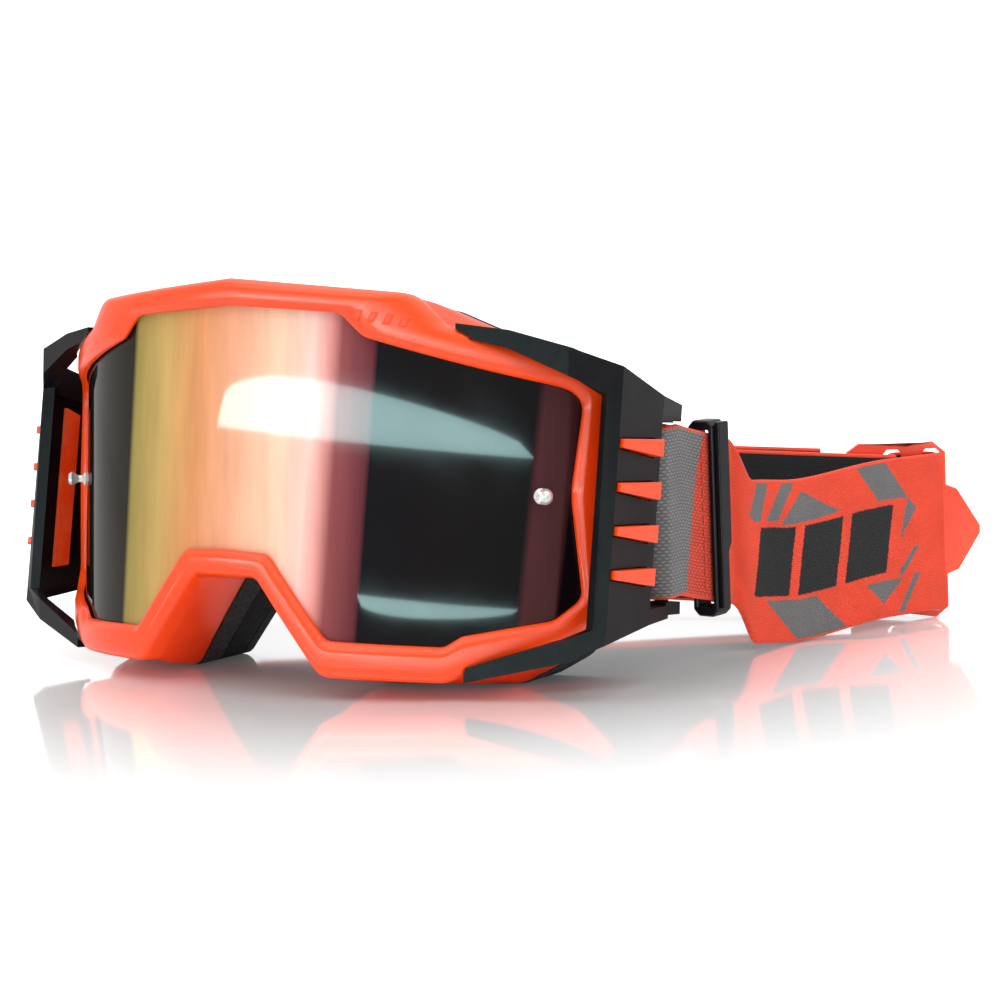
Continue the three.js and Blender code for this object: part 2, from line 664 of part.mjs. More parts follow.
function nearRunPoints() {
  const start = fold.clone().addScaledVector(leftDirection, NEAR_RUN_START);
  const behind = plateBackW - CLEAR - STRAP_THICKNESS / 2 - 0.2;
  const threaded = [[slotU - 0.9, BUCKLE_FRONT_W + 2.2], [slotU + 0.2, BUCKLE_FRONT_W - 1],
    [slotU, plateBackW], [slotU - 1.9, behind], [-slotU + 1.9, behind], [-slotU, plateBackW],
    [-slotU, BUCKLE_FRONT_W - 0.8]];
  const turn = fold.clone().lerp(onBuckle(...threaded[0]), 0.12);
  return [start, turn, ...threaded.map(([u, w]) => onBuckle(u, w))];
}

const buckleLift = (BUCKLE_HEIGHT - SLOT_HEIGHT) / 2 + CLEAR + 0.2; // the strap stands in the buckle's slots

// The near run rests on the ground and rises a little into the buckle.
function nearRunRise(x, y) {
  const down = THREE.MathUtils.smoothstep((y - FOLD_Y) / SETTLE_LENGTH, 0, 1);
  const up = THREE.MathUtils.smoothstep((y - FOLD_Y) / (BUCKLE_Y - 10 - FOLD_Y), 0.35, 1);
  return FOLD_LIFT * (1 - down) + buckleLift * up;
}

// The far run rises evenly from the buckle to the right outrigger.
function farRunRise(x) {
  const turnBase = END_LOOP_BASE_Z + droopAt(rightTurn.distanceTo(rightBar));
  return THREE.MathUtils.mapLinear(x, BUCKLE_X, RIGHT_TURN_X, buckleLift, turnBase - RUN_BASE_Z);
}

function nearRunGeometry() {
  const points = nearRunPoints();
  const [first, second, third] = points;
  const extra = [0.2, 0.4, 0.6, 0.8].map((share) => second.clone().lerp(third, share * 0.5));
  const path = [first, second, ...extra, ...points.slice(2)];
  return bandGeometry(path, STRAP_THICKNESS, RUN_BASE_Z, nearRunRise);
}

function buckleOutline() {
  const half = BUCKLE_HEIGHT / 2;
  const [left, right] = [-BUCKLE_REACH_LEFT, BUCKLE_REACH_RIGHT];
  const side = [[left, half - 6.5], [left, half - 2.2], [left + 3.2, half], [-1.5, half - 1],
    [right - 3.2, half], [right, half - 2.8], [right, 11.8], [right + 2.9, 10.6], [right + BUCKLE_TIP, 1]];
  const below = side.toReversed().map(([u, z]) => [u, -z]);
  return [...side, ...below].map(([u, z]) => new THREE.Vector2(u, z));
}

function buckleGeometry() {
  const shape = new THREE.Shape(buckleOutline());
  for (const u of [-slotU, slotU]) {
    const [w, h] = [SLOT_WIDTH / 2, SLOT_HEIGHT / 2];
    const slot = [[-w, -h + 1], [-w + 1, -h], [w - 1, -h], [w, -h + 1], [w, h - 1], [w - 1, h], [-w + 1, h],
      [-w, h - 1]];
    shape.holes.push(new THREE.Path(slot.map(([a, b]) => new THREE.Vector2(u + a, b))));
  }
  const plate = new THREE.ExtrudeGeometry(shape, { depth: BUCKLE_THICKNESS, bevelEnabled: false });
  const basis = new THREE.Matrix4().makeBasis(new THREE.Vector3(buckleAlong.x, buckleAlong.y, 0),
    new THREE.Vector3(0, 0, 1), new THREE.Vector3(buckleOut.x, buckleOut.y, 0));
  const at = onBuckle(0, plateBackW);
  plate.applyMatrix4(basis.setPosition(at.x, at.y, RUN_BASE_Z + BUCKLE_HEIGHT / 2));
  return plate;
}

const farStart = onBuckle(-slotU - 0.2, BUCKLE_FRONT_W + FAR_RUN_LIFT);
const rightTurn = new THREE.Vector2(RIGHT_TURN_X, RIGHT_TURN_Y);
const rightDirection = rightTurn.clone().sub(rightBar).normalize();
const rightLoopLength = rightTurn.distanceTo(rightBar) - FOLD_GAP;

// From the rear buckle straight to the turn behind the right outrigger.
function farRunPoints() {
  const turn = rightTurn.clone().addScaledVector(rightDirection, FOLD_GAP + STRAP_THICKNESS / 2);
  return [farStart, turn];
}

// The strap's spare end, doubled back behind the far run and ending behind the rear buckle.
function tailPoints() {
  const [from, to] = farRunPoints();
  const along = to.clone().sub(from).normalize();
  const back = new THREE.Vector2(along.y, -along.x);
  const place = (distance, gap) => from.clone().addScaledVector(along, distance).addScaledVector(back, gap);
  return [place(TAIL_START, TAIL_GAP_REAR), place(TAIL_START + TAIL_LENGTH, TAIL_GAP_FRONT)];
}

// A ladder slider: a rigid sleeve round the doubled strap, drawn across the strap and extruded along it.
function sliderGeometry(centre, direction, base) {
  const [inner, outer] = [BUNDLE / 2 + CLEAR, BUNDLE / 2 + CLEAR + SLIDER_WALL];
  const innerZ = STRAP_WIDTH / 2 + CLEAR + (STRAP_DROOP * SLIDER_LENGTH) / 2;
  const outerZ = innerZ + SLIDER_RIM;
  const corner = 1.6;
  const outline = [[-outer + corner, -outerZ], [outer - corner, -outerZ], [outer, -outerZ + corner],
    [outer, outerZ - corner], [outer - corner, outerZ], [-outer + corner, outerZ],
    [-outer, outerZ - corner], [-outer, -outerZ + corner]];
  const shape = new THREE.Shape(outline.map(([a, b]) => new THREE.Vector2(a, b)));
  shape.holes.push(new THREE.Path([[-inner, -innerZ], [-inner, innerZ], [inner, innerZ], [inner, -innerZ]]
    .map(([a, b]) => new THREE.Vector2(a, b))));
  const sleeve = new THREE.ExtrudeGeometry(shape, { depth: SLIDER_LENGTH, bevelEnabled: false });
  const across = new THREE.Vector3(-direction.y, direction.x, 0);
  const basis = new THREE.Matrix4().makeBasis(across, new THREE.Vector3(0, 0, 1),
    new THREE.Vector3(direction.x, direction.y, 0));
  const start = centre.clone().addScaledVector(direction, -SLIDER_LENGTH / 2);
  const middle = base + STRAP_WIDTH / 2;
  sleeve.applyMatrix4(basis.setPosition(start.x, start.y, middle));
  return sleeve;
}

addPiece(goggles, 'strap_left_loop', bandGeometry(
  endLoopPoints(leftBar, leftDirection, leftLoopLength, LOOP_GAP), STRAP_THICKNESS, END_LOOP_BASE_Z,
  droop(leftBar, leftDirection),
), 0x77777a, 1);
addPiece(goggles, 'left_slider', sliderGeometry(
  leftBar.clone().addScaledVector(leftDirection, SLIDER_PLACE), leftDirection,
  END_LOOP_BASE_Z + droopAt(SLIDER_PLACE),
), SATIN_BLACK, 0.3);
addPiece(goggles, 'strap_near_run', nearRunGeometry(), STRAP_ORANGE, 1);
addPiece(goggles, 'rear_buckle', buckleGeometry(), ORANGE, 0.35);

for (const [name, points] of [['strap_far_run', farRunPoints()], ['strap_tail', tailPoints()]]) {
  addPiece(goggles, name, bandGeometry(points, STRAP_THICKNESS, RUN_BASE_Z, farRunRise), STRAP_ORANGE, 1);
}
addPiece(goggles, 'strap_right_loop', bandGeometry(
  endLoopPoints(rightBar, rightDirection, rightLoopLength, OPEN_LOOP_GAP), STRAP_THICKNESS, END_LOOP_BASE_Z,
  droop(rightBar, rightDirection),
), STRAP_ORANGE, 1);
addPiece(goggles, 'right_slider', sliderGeometry(
  rightBar.clone().addScaledVector(rightDirection, SLIDER_PLACE), rightDirection,
  END_LOOP_BASE_Z + droopAt(SLIDER_PLACE),
), SATIN_BLACK, 0.3);

// The origin is the middle of the footprint, on the ground.
const extent = new THREE.Box3().setFromObject(goggles, true);
const middle = extent.getCenter(new THREE.Vector3());
goggles.position.set(-middle.x, -middle.y, -extent.min.z);

export default goggles;
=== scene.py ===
"""Sports goggles: mirrored wrap lens, orange frame, black outriggers and a folded elastic strap.

Shapes are worked out in millimetres. The frame has its own upright axes, with the origin on the lens
at its middle; it leans back by RAKE and stands on its foam. The strap lies in the standing axes.
"""
import math

import bmesh
import bpy
from mathutils import Matrix, Vector, noise


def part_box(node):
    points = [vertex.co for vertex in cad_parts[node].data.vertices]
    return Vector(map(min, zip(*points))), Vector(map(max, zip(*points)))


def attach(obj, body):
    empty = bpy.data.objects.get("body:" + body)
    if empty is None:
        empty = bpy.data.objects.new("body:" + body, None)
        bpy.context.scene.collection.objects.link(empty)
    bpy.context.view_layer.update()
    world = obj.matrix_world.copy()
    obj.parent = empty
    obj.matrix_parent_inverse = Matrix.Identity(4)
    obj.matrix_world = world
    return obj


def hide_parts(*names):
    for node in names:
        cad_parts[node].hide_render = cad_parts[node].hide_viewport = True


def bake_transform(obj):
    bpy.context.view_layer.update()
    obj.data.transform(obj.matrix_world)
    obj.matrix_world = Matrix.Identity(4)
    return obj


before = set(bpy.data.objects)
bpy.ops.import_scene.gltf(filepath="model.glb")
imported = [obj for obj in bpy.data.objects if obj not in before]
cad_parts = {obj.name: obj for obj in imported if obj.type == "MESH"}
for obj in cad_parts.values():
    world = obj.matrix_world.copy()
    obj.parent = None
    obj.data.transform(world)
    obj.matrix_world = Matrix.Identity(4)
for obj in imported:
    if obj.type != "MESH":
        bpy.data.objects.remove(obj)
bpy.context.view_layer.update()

MM = 0.001
RAKE = math.radians(6)
REST_HEIGHT = 46.3
LENS_TOE = 1.49  # how far the lens' nose edge leads its middle

lens_low, lens_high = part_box("lens")
ORIGIN = Vector(((lens_low.x + lens_high.x) / 2, lens_low.y + LENS_TOE * MM, 0))

# ---- places ----


def standing(x, y, z):
    """A point of the standing axes, in the frame's metres."""
    return ORIGIN + Vector((x, y, z)) * MM


def framed(x, y, z):
    """A point of the upright frame axes, leaned back and lifted onto its foam."""
    lean, rise = math.sin(RAKE), math.cos(RAKE)
    return standing(x, y * rise + z * lean, z * rise - y * lean + REST_HEIGHT)


SAG_2 = 2.15e-3
SAG_4 = 5e-7
LENS_THICKNESS = 1.2


def lens_depth(x):
    return SAG_2 * x * x + SAG_4 * x**4


def on_lens(x, z, out):
    """A point 'out' in front of the lens, measured square to it."""
    slope = 2 * SAG_2 * x + 4 * SAG_4 * x**3
    length = math.hypot(1, slope)
    return framed(x + out * slope / length, lens_depth(x) - out / length, z)


def lens_normal(x):
    """The lens' outward direction."""
    return (on_lens(x, 0, 1) - on_lens(x, 0, 0)).normalized()


# ---- outlines: the right half from the top middle to the bottom middle, as x, z and corner radius ----

OPENING = dict(top=46, bottom=-12.4, corners=[
    (32, 44, 5), (38, 38.4, 6), (79.6, 26.6, 6), (77.8, 3, 40), (79.8, -21.5, 5), (75.6, -26.6, 4),
    (60, -30.4, 3), (56.6, -33, 3), (29.6, -32.7, 4), (13, -13, 4)])
BEZEL_OUTER = dict(top=52.6, bottom=-19, corners=[
    (49, 48.6, 8), (56, 41.4, 5), (82.4, 33, 6), (82.6, 3, 40), (82.6, -24.5, 6), (78, -32.4, 6),
    (61, -39.6, 4), (57, -41.4, 4), (28.2, -41.4, 5), (9.7, -19, 4)])
FACE_OPENING = dict(top=36, bottom=-8.5, corners=[
    (30, 35, 6), (35.5, 31, 6), (70, 21.5, 8), (69, 2, 40), (70.5, -18, 6), (67, -23.5, 5),
    (58, -27, 4), (55, -28.8, 4), (34, -28.5, 5), (17, -8.5, 5)])

REAR_DEPTH, REAR_SAG = 19, 4.4e-3
FACE_DEPTH, FACE_SAG = 40, 2.4e-3


def rear_depth(x):
    return REAR_DEPTH + REAR_SAG * x * x


def face_depth(x):
    return FACE_DEPTH + FACE_SAG * x * x


def foam_outline(inset, depth):
    """The foam's outer edge at a depth, with its underside along the ground."""
    def ground(x):
        return (-REST_HEIGHT + depth(x) * math.sin(RAKE)) / math.cos(RAKE)

    return dict(top=48 - inset, bottom=-20, corners=[
        (46, 46 - inset, 8), (55, 42 - inset, 5), (80 - inset, 32 - inset, 8), (81 - inset, 3, 40),
        (79 - inset, -26, 8), (73, ground(73) + 6, 8), (63, ground(63), 6), (57, ground(57), 5),
        (29, ground(29), 5), (10.5, -20, 5)])


ARC_STEPS = 8
EDGE_STEP = 2.5


def half_corners(outline):
    return [(0, outline["top"], 0), *outline["corners"], (0, outline["bottom"], 0)]


def edge_counts():
    """Steps along each straight stretch, the same for every outline so that they match."""
    spots = half_corners(OPENING)
    return [max(2, round(math.dist(a[:2], b[:2]) / EDGE_STEP)) for a, b in zip(spots, spots[1:])]


EDGE_COUNTS = edge_counts()


def outline_points(outline):
    """The closed outline as x, z points."""
    corners = [(Vector(c[:2]), c[2]) for c in half_corners(outline)]
    spots = []
    for i, (at, radius) in enumerate(corners):
        if radius == 0:
            spots.append((at, at))
            continue
        back, ahead = corners[i - 1][0] - at, corners[i + 1][0] - at
        turn = math.pi - back.angle(ahead)
        reach = min(radius * math.tan(turn / 2), 0.45 * back.length, 0.45 * ahead.length)
        spots.append((at + back.normalized() * reach, at + ahead.normalized() * reach))
    half = []
    for i, count in enumerate(EDGE_COUNTS):
        start, stop = spots[i][1], spots[i + 1][0]
        half += [start.lerp(stop, step / count) for step in range(count)]
        if i + 2 < len(corners):
            corner, leave = corners[i + 1][0], spots[i + 1][1]
            for step in range(ARC_STEPS):
                t = step / ARC_STEPS
                half.append(stop.lerp(corner, t).lerp(corner.lerp(leave, t), t))
    half.append(corners[-1][0])
    return half + [Vector((-p.x, p.y)) for p in reversed(half[1:-1])]


opening = outline_points(OPENING)
bezel_outer = outline_points(BEZEL_OUTER)
face_opening = outline_points(FACE_OPENING)


def between(inner, outer, share):
    return [a.lerp(b, share) for a, b in zip(inner, outer)]


def loop_on_lens(points, out):
    return [on_lens(p.x, p.y, out) for p in points]


def loop_at_depth(points, depth):
    return [framed(p.x, depth(p.x), p.y) for p in points]


# ---- making pieces ----


def finished(name, bm, materials, smooth_angle=35):
    """A piece from a bmesh, with smooth shading up to an angle."""
    mesh = bpy.data.meshes.new(name)
    bm.to_mesh(mesh)
    bm.free()
    for material in materials:
        mesh.materials.append(material)
    mesh.polygons.foreach_set("use_smooth", [True] * len(mesh.polygons))
    mesh.set_sharp_from_angle(angle=math.radians(smooth_angle))
    piece = bpy.data.objects.new(name, mesh)
    bpy.context.scene.collection.objects.link(piece)
    return piece


def placed_grid(columns, rows, place, cap_ends=False):
    """A grid whose points go where place(column, row) says, welded where its edges meet."""
    bm = bmesh.new()
    bm.loops.layers.uv.new("UVMap")
    bmesh.ops.create_grid(bm, x_segments=columns, y_segments=rows, size=0.5, calc_uvs=True)
    for vertex in bm.verts:
        column = round((vertex.co.x + 0.5) * columns)
        row = round((vertex.co.y + 0.5) * rows)
        vertex.co = place(column, row)
    bmesh.ops.remove_doubles(bm, verts=bm.verts, dist=1e-6)
    if cap_ends:
        edges = [edge for edge in bm.edges if edge.is_boundary]
        bmesh.ops.holes_fill(bm, edges=edges, sides=0)
    bmesh.ops.recalc_face_normals(bm, faces=bm.faces)
    return bm


def ring_piece(name, loops, materials, smooth_angle=35):
    """A closed ring from loops given in order round its section."""
    count = len(loops[0])
    bm = placed_grid(count, len(loops), lambda i, j: loops[j % len(loops)][i % count])
    return finished(name, bm, materials, smooth_angle)


def hold(piece, body, slot, *nodes):
    """What the piece rides on, if not blended, and the CAD nodes that it stands for, which it hides; slot,
    its finish, is not used.
    """
    if body:
        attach(piece, body)
    if nodes:
        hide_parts(*nodes)


def add_bevel(piece, width, segments=3, angle=30):
    bevel = piece.modifiers.new("edge_round", "BEVEL")
    bevel.width = width * MM
    bevel.segments = segments
    bevel.limit_method = "ANGLE"
    bevel.angle_limit = math.radians(angle)


def refined_copy(name, node, materials, bevel, angle=25):
    """A CAD node's shape with its flats joined up and its edges rounded."""
    bm = bmesh.new()
    bm.from_mesh(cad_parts[node].data)
    bmesh.ops.remove_doubles(bm, verts=bm.verts, dist=1e-6)
    bmesh.ops.dissolve_limit(bm, angle_limit=math.radians(1.5), verts=bm.verts, edges=bm.edges)
    piece = finished(name, bm, materials, smooth_angle=angle)
    add_bevel(piece, bevel, angle=angle)
    return piece


# ---- material tools ----


def material_tree(name):
    material = bpy.data.materials.new(name)
    material.use_nodes = True
    tree = material.node_tree
    return material, tree, tree.nodes["Principled BSDF"]


def node(tree, kind, **settings):
    """A node with its properties and, under their names or numbers, its input values or links."""
    made = tree.nodes.new(kind)
    inputs = settings.pop("inputs", {})
    for key, value in settings.items():
        setattr(made, key, value)
    for key, value in inputs.items():
        if isinstance(value, bpy.types.NodeSocket):
            tree.links.new(value, made.inputs[key])
        else:
            made.inputs[key].default_value = value
    return made


def maths(tree, operation, a, b=0.0, clamp=False):
    return node(tree, "ShaderNodeMath", operation=operation, use_clamp=clamp,
                inputs={0: a, 1: b}).outputs[0]


def mixed(tree, factor, a, b, blend="MIX"):
    made = node(tree, "ShaderNodeMix", data_type="RGBA", blend_type=blend)
    for key, value in (("Factor", factor), ("A", a), ("B", b)):
        # the colour mix shares its socket names with the value mix, so they are found by type
        kinds = ("VALUE",) if key == "Factor" else ("RGBA",)
        socket = next(s for s in made.inputs if s.name == key and s.type in kinds)
        if isinstance(value, bpy.types.NodeSocket):
            tree.links.new(value, socket)
        else:
            socket.default_value = value
    return next(s for s in made.outputs if s.type == "RGBA")


def ramp(tree, factor, stops, interpolation="LINEAR"):
    made = node(tree, "ShaderNodeValToRGB", inputs={0: factor})
    band = made.color_ramp
    band.interpolation = interpolation
    while len(band.elements) < len(stops):
        band.elements.new(0.5)
    for element, (position, colour) in zip(band.elements, stops):
        element.position = position
        element.color = (*colour, 1)
    return made.outputs[0]


def vector_maths(tree, operation, inputs, output="Vector"):
    return node(tree, "ShaderNodeVectorMath", operation=operation, inputs=inputs).outputs[output]


def shaded(tree, colour, shade):
    """The colour, darker or lighter by the shade."""
    tint = node(tree, "ShaderNodeCombineColor", inputs={0: shade, 1: shade, 2: shade}).outputs[0]
    return mixed(tree, 1.0, colour, tint, "MULTIPLY")


def stretch(tree, value, low, high, to_low=0.0, to_high=1.0):
    return node(tree, "ShaderNodeMapRange", inputs={
        0: value, 1: low, 2: high, 3: to_low, 4: to_high}).outputs[0]


def noise_at(tree, where, scale, detail=3.0, roughness=0.5):
    return node(tree, "ShaderNodeTexNoise", inputs={
        "Vector": where, "Scale": scale, "Detail": detail, "Roughness": roughness}).outputs[0]


def new_group(name, inputs, outputs):
    """A shader node group with named sockets: (group, its inputs node, its outputs node)."""
    group = bpy.data.node_groups.new(name, "ShaderNodeTree")
    for socket, kind, value in inputs:
        made = group.interface.new_socket(socket, in_out="INPUT", socket_type=kind)
        made.default_value = value
    for socket, kind in outputs:
        group.interface.new_socket(socket, in_out="OUTPUT", socket_type=kind)
    return group, group.nodes.new("NodeGroupInput"), group.nodes.new("NodeGroupOutput")


def group_gives(group, out, **values):
    for name, value in values.items():
        group.links.new(value, out.inputs[name])
    return group


FLOAT, COLOUR, VECTOR = "NodeSocketFloat", "NodeSocketColor", "NodeSocketVector"


def moulded_plastic_group():
    """Fine moulding texture, lighter rubbed edges and handling smudges on plastic."""
    group, given, out = new_group("moulded_plastic", [
        ("Colour", COLOUR, (0.5, 0.5, 0.5, 1)), ("Edge Colour", COLOUR, (0.6, 0.6, 0.6, 1)),
        ("Edge Amount", FLOAT, 0.4), ("Grain Scale", FLOAT, 2500.0), ("Grain Height", FLOAT, 0.1),
        ("Roughness", FLOAT, 0.35), ("Roughness Spread", FLOAT, 0.12),
    ], [("Colour", COLOUR), ("Roughness", FLOAT), ("Normal", VECTOR)])
    where = group.nodes.new("ShaderNodeTexCoord").outputs["Object"]
    bend = group.nodes.new("ShaderNodeNewGeometry").outputs["Pointiness"]
    edge = stretch(group, bend, 0.56, 0.68)
    scuffs = noise_at(group, where, 140.0, 6.0, 0.6)
    edge = maths(group, "MULTIPLY", edge, stretch(group, scuffs, 0.35, 0.65))
    edge = maths(group, "MULTIPLY", edge, given.outputs["Edge Amount"], clamp=True)
    cloudy = noise_at(group, where, 28.0, 4.0, 0.55)
    shade = stretch(group, cloudy, 0.3, 0.7, 0.93, 1.05)
    base = shaded(group, given.outputs["Colour"], shade)
    colour = mixed(group, edge, base, given.outputs["Edge Colour"])
    smudge = noise_at(group, where, 75.0, 5.0, 0.65)
    smudge = maths(group, "SUBTRACT", smudge, 0.5)
    spread = maths(group, "MULTIPLY", smudge, given.outputs["Roughness Spread"])
    rough = maths(group, "ADD", given.outputs["Roughness"], spread, clamp=True)
    grain = noise_at(group, where, given.outputs["Grain Scale"], 2.0)
    bump = node(group, "ShaderNodeBump", inputs={
        "Strength": given.outputs["Grain Height"], "Distance": 0.0002, "Height": grain}).outputs[0]
    return group_gives(group, out, Colour=colour, Roughness=rough, Normal=bump)


def webbing_group():
    """Woven elastic: rows of small stitches along the strap with fine yarn fuzz, and painted shade that
    darkens the weave's hollows.
    """
    group, given, out = new_group("webbing", [
        ("Colour", COLOUR, (0.5, 0.5, 0.5, 1)), ("Pitch", FLOAT, 0.0009), ("Relief", FLOAT, 0.6),
        ("Contrast", FLOAT, 0.25),
    ], [("Colour", COLOUR), ("Roughness", FLOAT), ("Normal", VECTOR)])
    uv = group.nodes.new("ShaderNodeTexCoord").outputs["UV"]
    split = node(group, "ShaderNodeSeparateXYZ", inputs={0: uv})
    turns = maths(group, "DIVIDE", math.tau, given.outputs["Pitch"])
    along = maths(group, "MULTIPLY", split.outputs[0], turns)
    across = maths(group, "MULTIPLY", split.outputs[1], turns)
    row = maths(group, "SINE", across)
    lag = maths(group, "MULTIPLY", maths(group, "SIGN", row), math.pi / 2)
    stitch = maths(group, "SINE", maths(group, "ADD", along, lag))
    ridge = maths(group, "ABSOLUTE", row)
    weave = maths(group, "MULTIPLY", ridge, stretch(group, stitch, -1, 1, 0.25, 1))
    fuzz = noise_at(group, uv, 9000.0, 3.0, 0.7)
    height = maths(group, "ADD", weave, maths(group, "MULTIPLY", fuzz, 0.5))
    # painted shade: the colour is darkened where the weave is low
    hollow = maths(group, "SUBTRACT", 1.0, weave)
    dip = maths(group, "MULTIPLY", hollow, given.outputs["Contrast"], clamp=True)
    cloudy = stretch(group, noise_at(group, uv, 120.0, 4.0), 0.3, 0.7, 0.9, 1.06)
    shade = maths(group, "MULTIPLY", maths(group, "SUBTRACT", 1.0, dip), cloudy)
    colour = shaded(group, given.outputs["Colour"], shade)
    rough = stretch(group, fuzz, 0.2, 0.8, 0.72, 0.95)
    bump = node(group, "ShaderNodeBump", inputs={
        "Strength": given.outputs["Relief"], "Distance": 0.0003, "Height": height}).outputs[0]
    return group_gives(group, out, Colour=colour, Roughness=rough, Normal=bump)


def foam_group():
    """Open-cell foam or brushed fleece: small pits, darkened by painted shade, with painted light on their
    raised rims.
    """
    group, given, out = new_group("foam_cells", [
        ("Colour", COLOUR, (0.05, 0.05, 0.05, 1)), ("Cell Scale", FLOAT, 900.0), ("Depth", FLOAT, 0.7),
    ], [("Colour", COLOUR), ("Normal", VECTOR)])
    where = group.nodes.new("ShaderNodeTexCoord").outputs["Object"]
    cells = node(group, "ShaderNodeTexVoronoi", inputs={
        "Vector": where, "Scale": given.outputs["Cell Scale"]}).outputs["Distance"]
    fibre = noise_at(group, where, 2600.0, 4.0, 0.7)
    height = maths(group, "ADD", cells, maths(group, "MULTIPLY", fibre, 0.6))
    # painted shade in the pits and painted light on the rims, both following the cells' height
    shade = stretch(group, height, 0.2, 1.1, 0.55, 1.35)
    colour = shaded(group, given.outputs["Colour"], shade)
    bump = node(group, "ShaderNodeBump", inputs={
        "Strength": given.outputs["Depth"], "Distance": 0.0004, "Height": height}).outputs[0]
    return group_gives(group, out, Colour=colour, Normal=bump)


PLASTIC = moulded_plastic_group()
WEBBING = webbing_group()
FOAM = foam_group()


def use_group(tree, group, bsdf, **values):
    """Places a node group, sets its inputs and joins its outputs to the shader."""
    made = node(tree, "ShaderNodeGroup", node_tree=group)
    for key, value in values.items():
        socket = made.inputs[key.replace("_", " ")]
        if isinstance(value, bpy.types.NodeSocket):
            tree.links.new(value, socket)
        else:
            socket.default_value = value
    for name, target in (("Colour", "Base Color"), ("Roughness", "Roughness"), ("Normal", "Normal")):
        if name in made.outputs:
            tree.links.new(made.outputs[name], bsdf.inputs[target])


def plastic(name, colour, edge_colour, roughness, grain=0.1, coat=0.0, edge=0.4, shine=0.3):
    material, tree, bsdf = material_tree(name)
    use_group(tree, PLASTIC, bsdf, Colour=(*colour, 1), Edge_Colour=(*edge_colour, 1), Edge_Amount=edge,
              Grain_Height=grain, Roughness=roughness)
    bsdf.inputs["Coat Weight"].default_value = coat
    bsdf.inputs["Coat Roughness"].default_value = 0.12
    bsdf.inputs["Specular IOR Level"].default_value = shine
    return material


def foam_material(name, colour, scale, depth):
    material, tree, bsdf = material_tree(name)
    use_group(tree, FOAM, bsdf, Colour=(*colour, 1), Cell_Scale=scale, Depth=depth)
    bsdf.inputs["Roughness"].default_value = 0.95
    bsdf.inputs["Specular IOR Level"].default_value = 0.2
    return material


ORANGE = (0.96, 0.062, 0.002)
CORAL = (0.94, 0.07, 0.024)
GREY = (0.17, 0.165, 0.165)
PRINT_BLACK = (0.006, 0.006, 0.007)
RUBBED_ORANGE = (1.0, 0.2, 0.06)  # where edges are worn paler
RUBBED_BLACK = (0.05, 0.05, 0.055)

bezel_orange = plastic("bezel_orange", ORANGE, RUBBED_ORANGE, 0.3, grain=0.05, coat=0.12)
frame_orange = plastic("frame_orange", (0.92, 0.055, 0.002), RUBBED_ORANGE, 0.38, grain=0.1)
buckle_orange = plastic("buckle_orange", (0.95, 0.045, 0.001), RUBBED_ORANGE, 0.3, grain=0.05, coat=0.1)
outrigger_black = plastic("outrigger_black", (0.0035, 0.003, 0.004), RUBBED_BLACK, 0.36, grain=0.2,
                          edge=0.06, shine=0.08)
slider_black = plastic("slider_black", (0.005, 0.005, 0.007), RUBBED_BLACK, 0.3, grain=0.15, edge=0.06,
                       shine=0.18)
gasket_black = plastic("gasket_black", (0.01, 0.01, 0.01), (0.05, 0.05, 0.05), 0.7, grain=0.2)
foam_grey = foam_material("foam_grey", (0.035, 0.035, 0.04), 700.0, 0.8)
foam_black = foam_material("foam_black", (0.012, 0.012, 0.014), 850.0, 0.8)
fleece = foam_material("fleece", (0.02, 0.02, 0.023), 1500.0, 0.5)


def clear_plastic():
    material, tree, bsdf = material_tree("clear_plastic")
    where = tree.nodes.new("ShaderNodeTexCoord").outputs["Object"]
    rough = stretch(tree, noise_at(tree, where, 600.0), 0.3, 0.7, 0.04, 0.2)
    tree.links.new(rough, bsdf.inputs["Roughness"])
    bsdf.inputs["Base Color"].default_value = (0.78, 0.76, 0.74, 1)
    bsdf.inputs["Transmission Weight"].default_value = 0.35
    bsdf.inputs["IOR"].default_value = 1.5
    bsdf.inputs["Metallic"].default_value = 0.3
    return material


clear = clear_plastic()


SHAPE_EDGE = 0.16  # how soft a printed edge is, in millimetres
PRINT_RAGGED = 0.7  # how far a printed edge strays, in millimetres


def strap_place(tree):
    """Where on the strap, in millimetres along and across, with the ragged edge that a woven print has."""
    uv = tree.nodes.new("ShaderNodeTexCoord").outputs["UV"]
    measured = vector_maths(tree, "SCALE", {0: uv, "Scale": 1 / MM})
    rough = node(tree, "ShaderNodeTexNoise", inputs={"Scale": 1.3, "Vector": measured}).outputs["Color"]
    centred = vector_maths(tree, "SUBTRACT", {0: rough, 1: (0.5, 0.5, 0.5)})
    ragged = vector_maths(tree, "SCALE", {0: centred, "Scale": PRINT_RAGGED})
    return vector_maths(tree, "ADD", {0: measured, 1: ragged})


def beside_line(tree, place, a, b):
    """One on the left of the line from a to b, nothing on its right."""
    along = (Vector(b) - Vector(a)).normalized()
    left = Vector((-along.y, along.x))
    depth = vector_maths(tree, "DOT_PRODUCT", {0: place, 1: (left.x, left.y, 0)}, "Value")
    start = left.dot(Vector(a))
    return stretch(tree, depth, start - SHAPE_EDGE, start + SHAPE_EDGE)


def printed_shape(tree, place, corners):
    """A mask of a shape whose corners are given anticlockwise."""
    mask = None
    for a, b in zip(corners, corners[1:] + corners[:1]):
        side = beside_line(tree, place, a, b)
        mask = side if mask is None else maths(tree, "MINIMUM", mask, side)
    return mask


def printed_shapes(tree, place, shapes):
    """A mask of several shapes, each with its corners in either order."""
    mask = None
    for corners in shapes:
        turn = sum(a[0] * b[1] - b[0] * a[1] for a, b in zip(corners, corners[1:] + corners[:1]))
        shape = printed_shape(tree, place, corners if turn > 0 else corners[::-1])
        mask = shape if mask is None else maths(tree, "MAXIMUM", mask, shape)
    return mask


NEAR_START = 10.5  # how far along the near band the folded edge lies
PRINT_TOP, PRINT_MIDDLE, PRINT_FOOT = 41.5, 30, 11  # heights where the printed rows meet


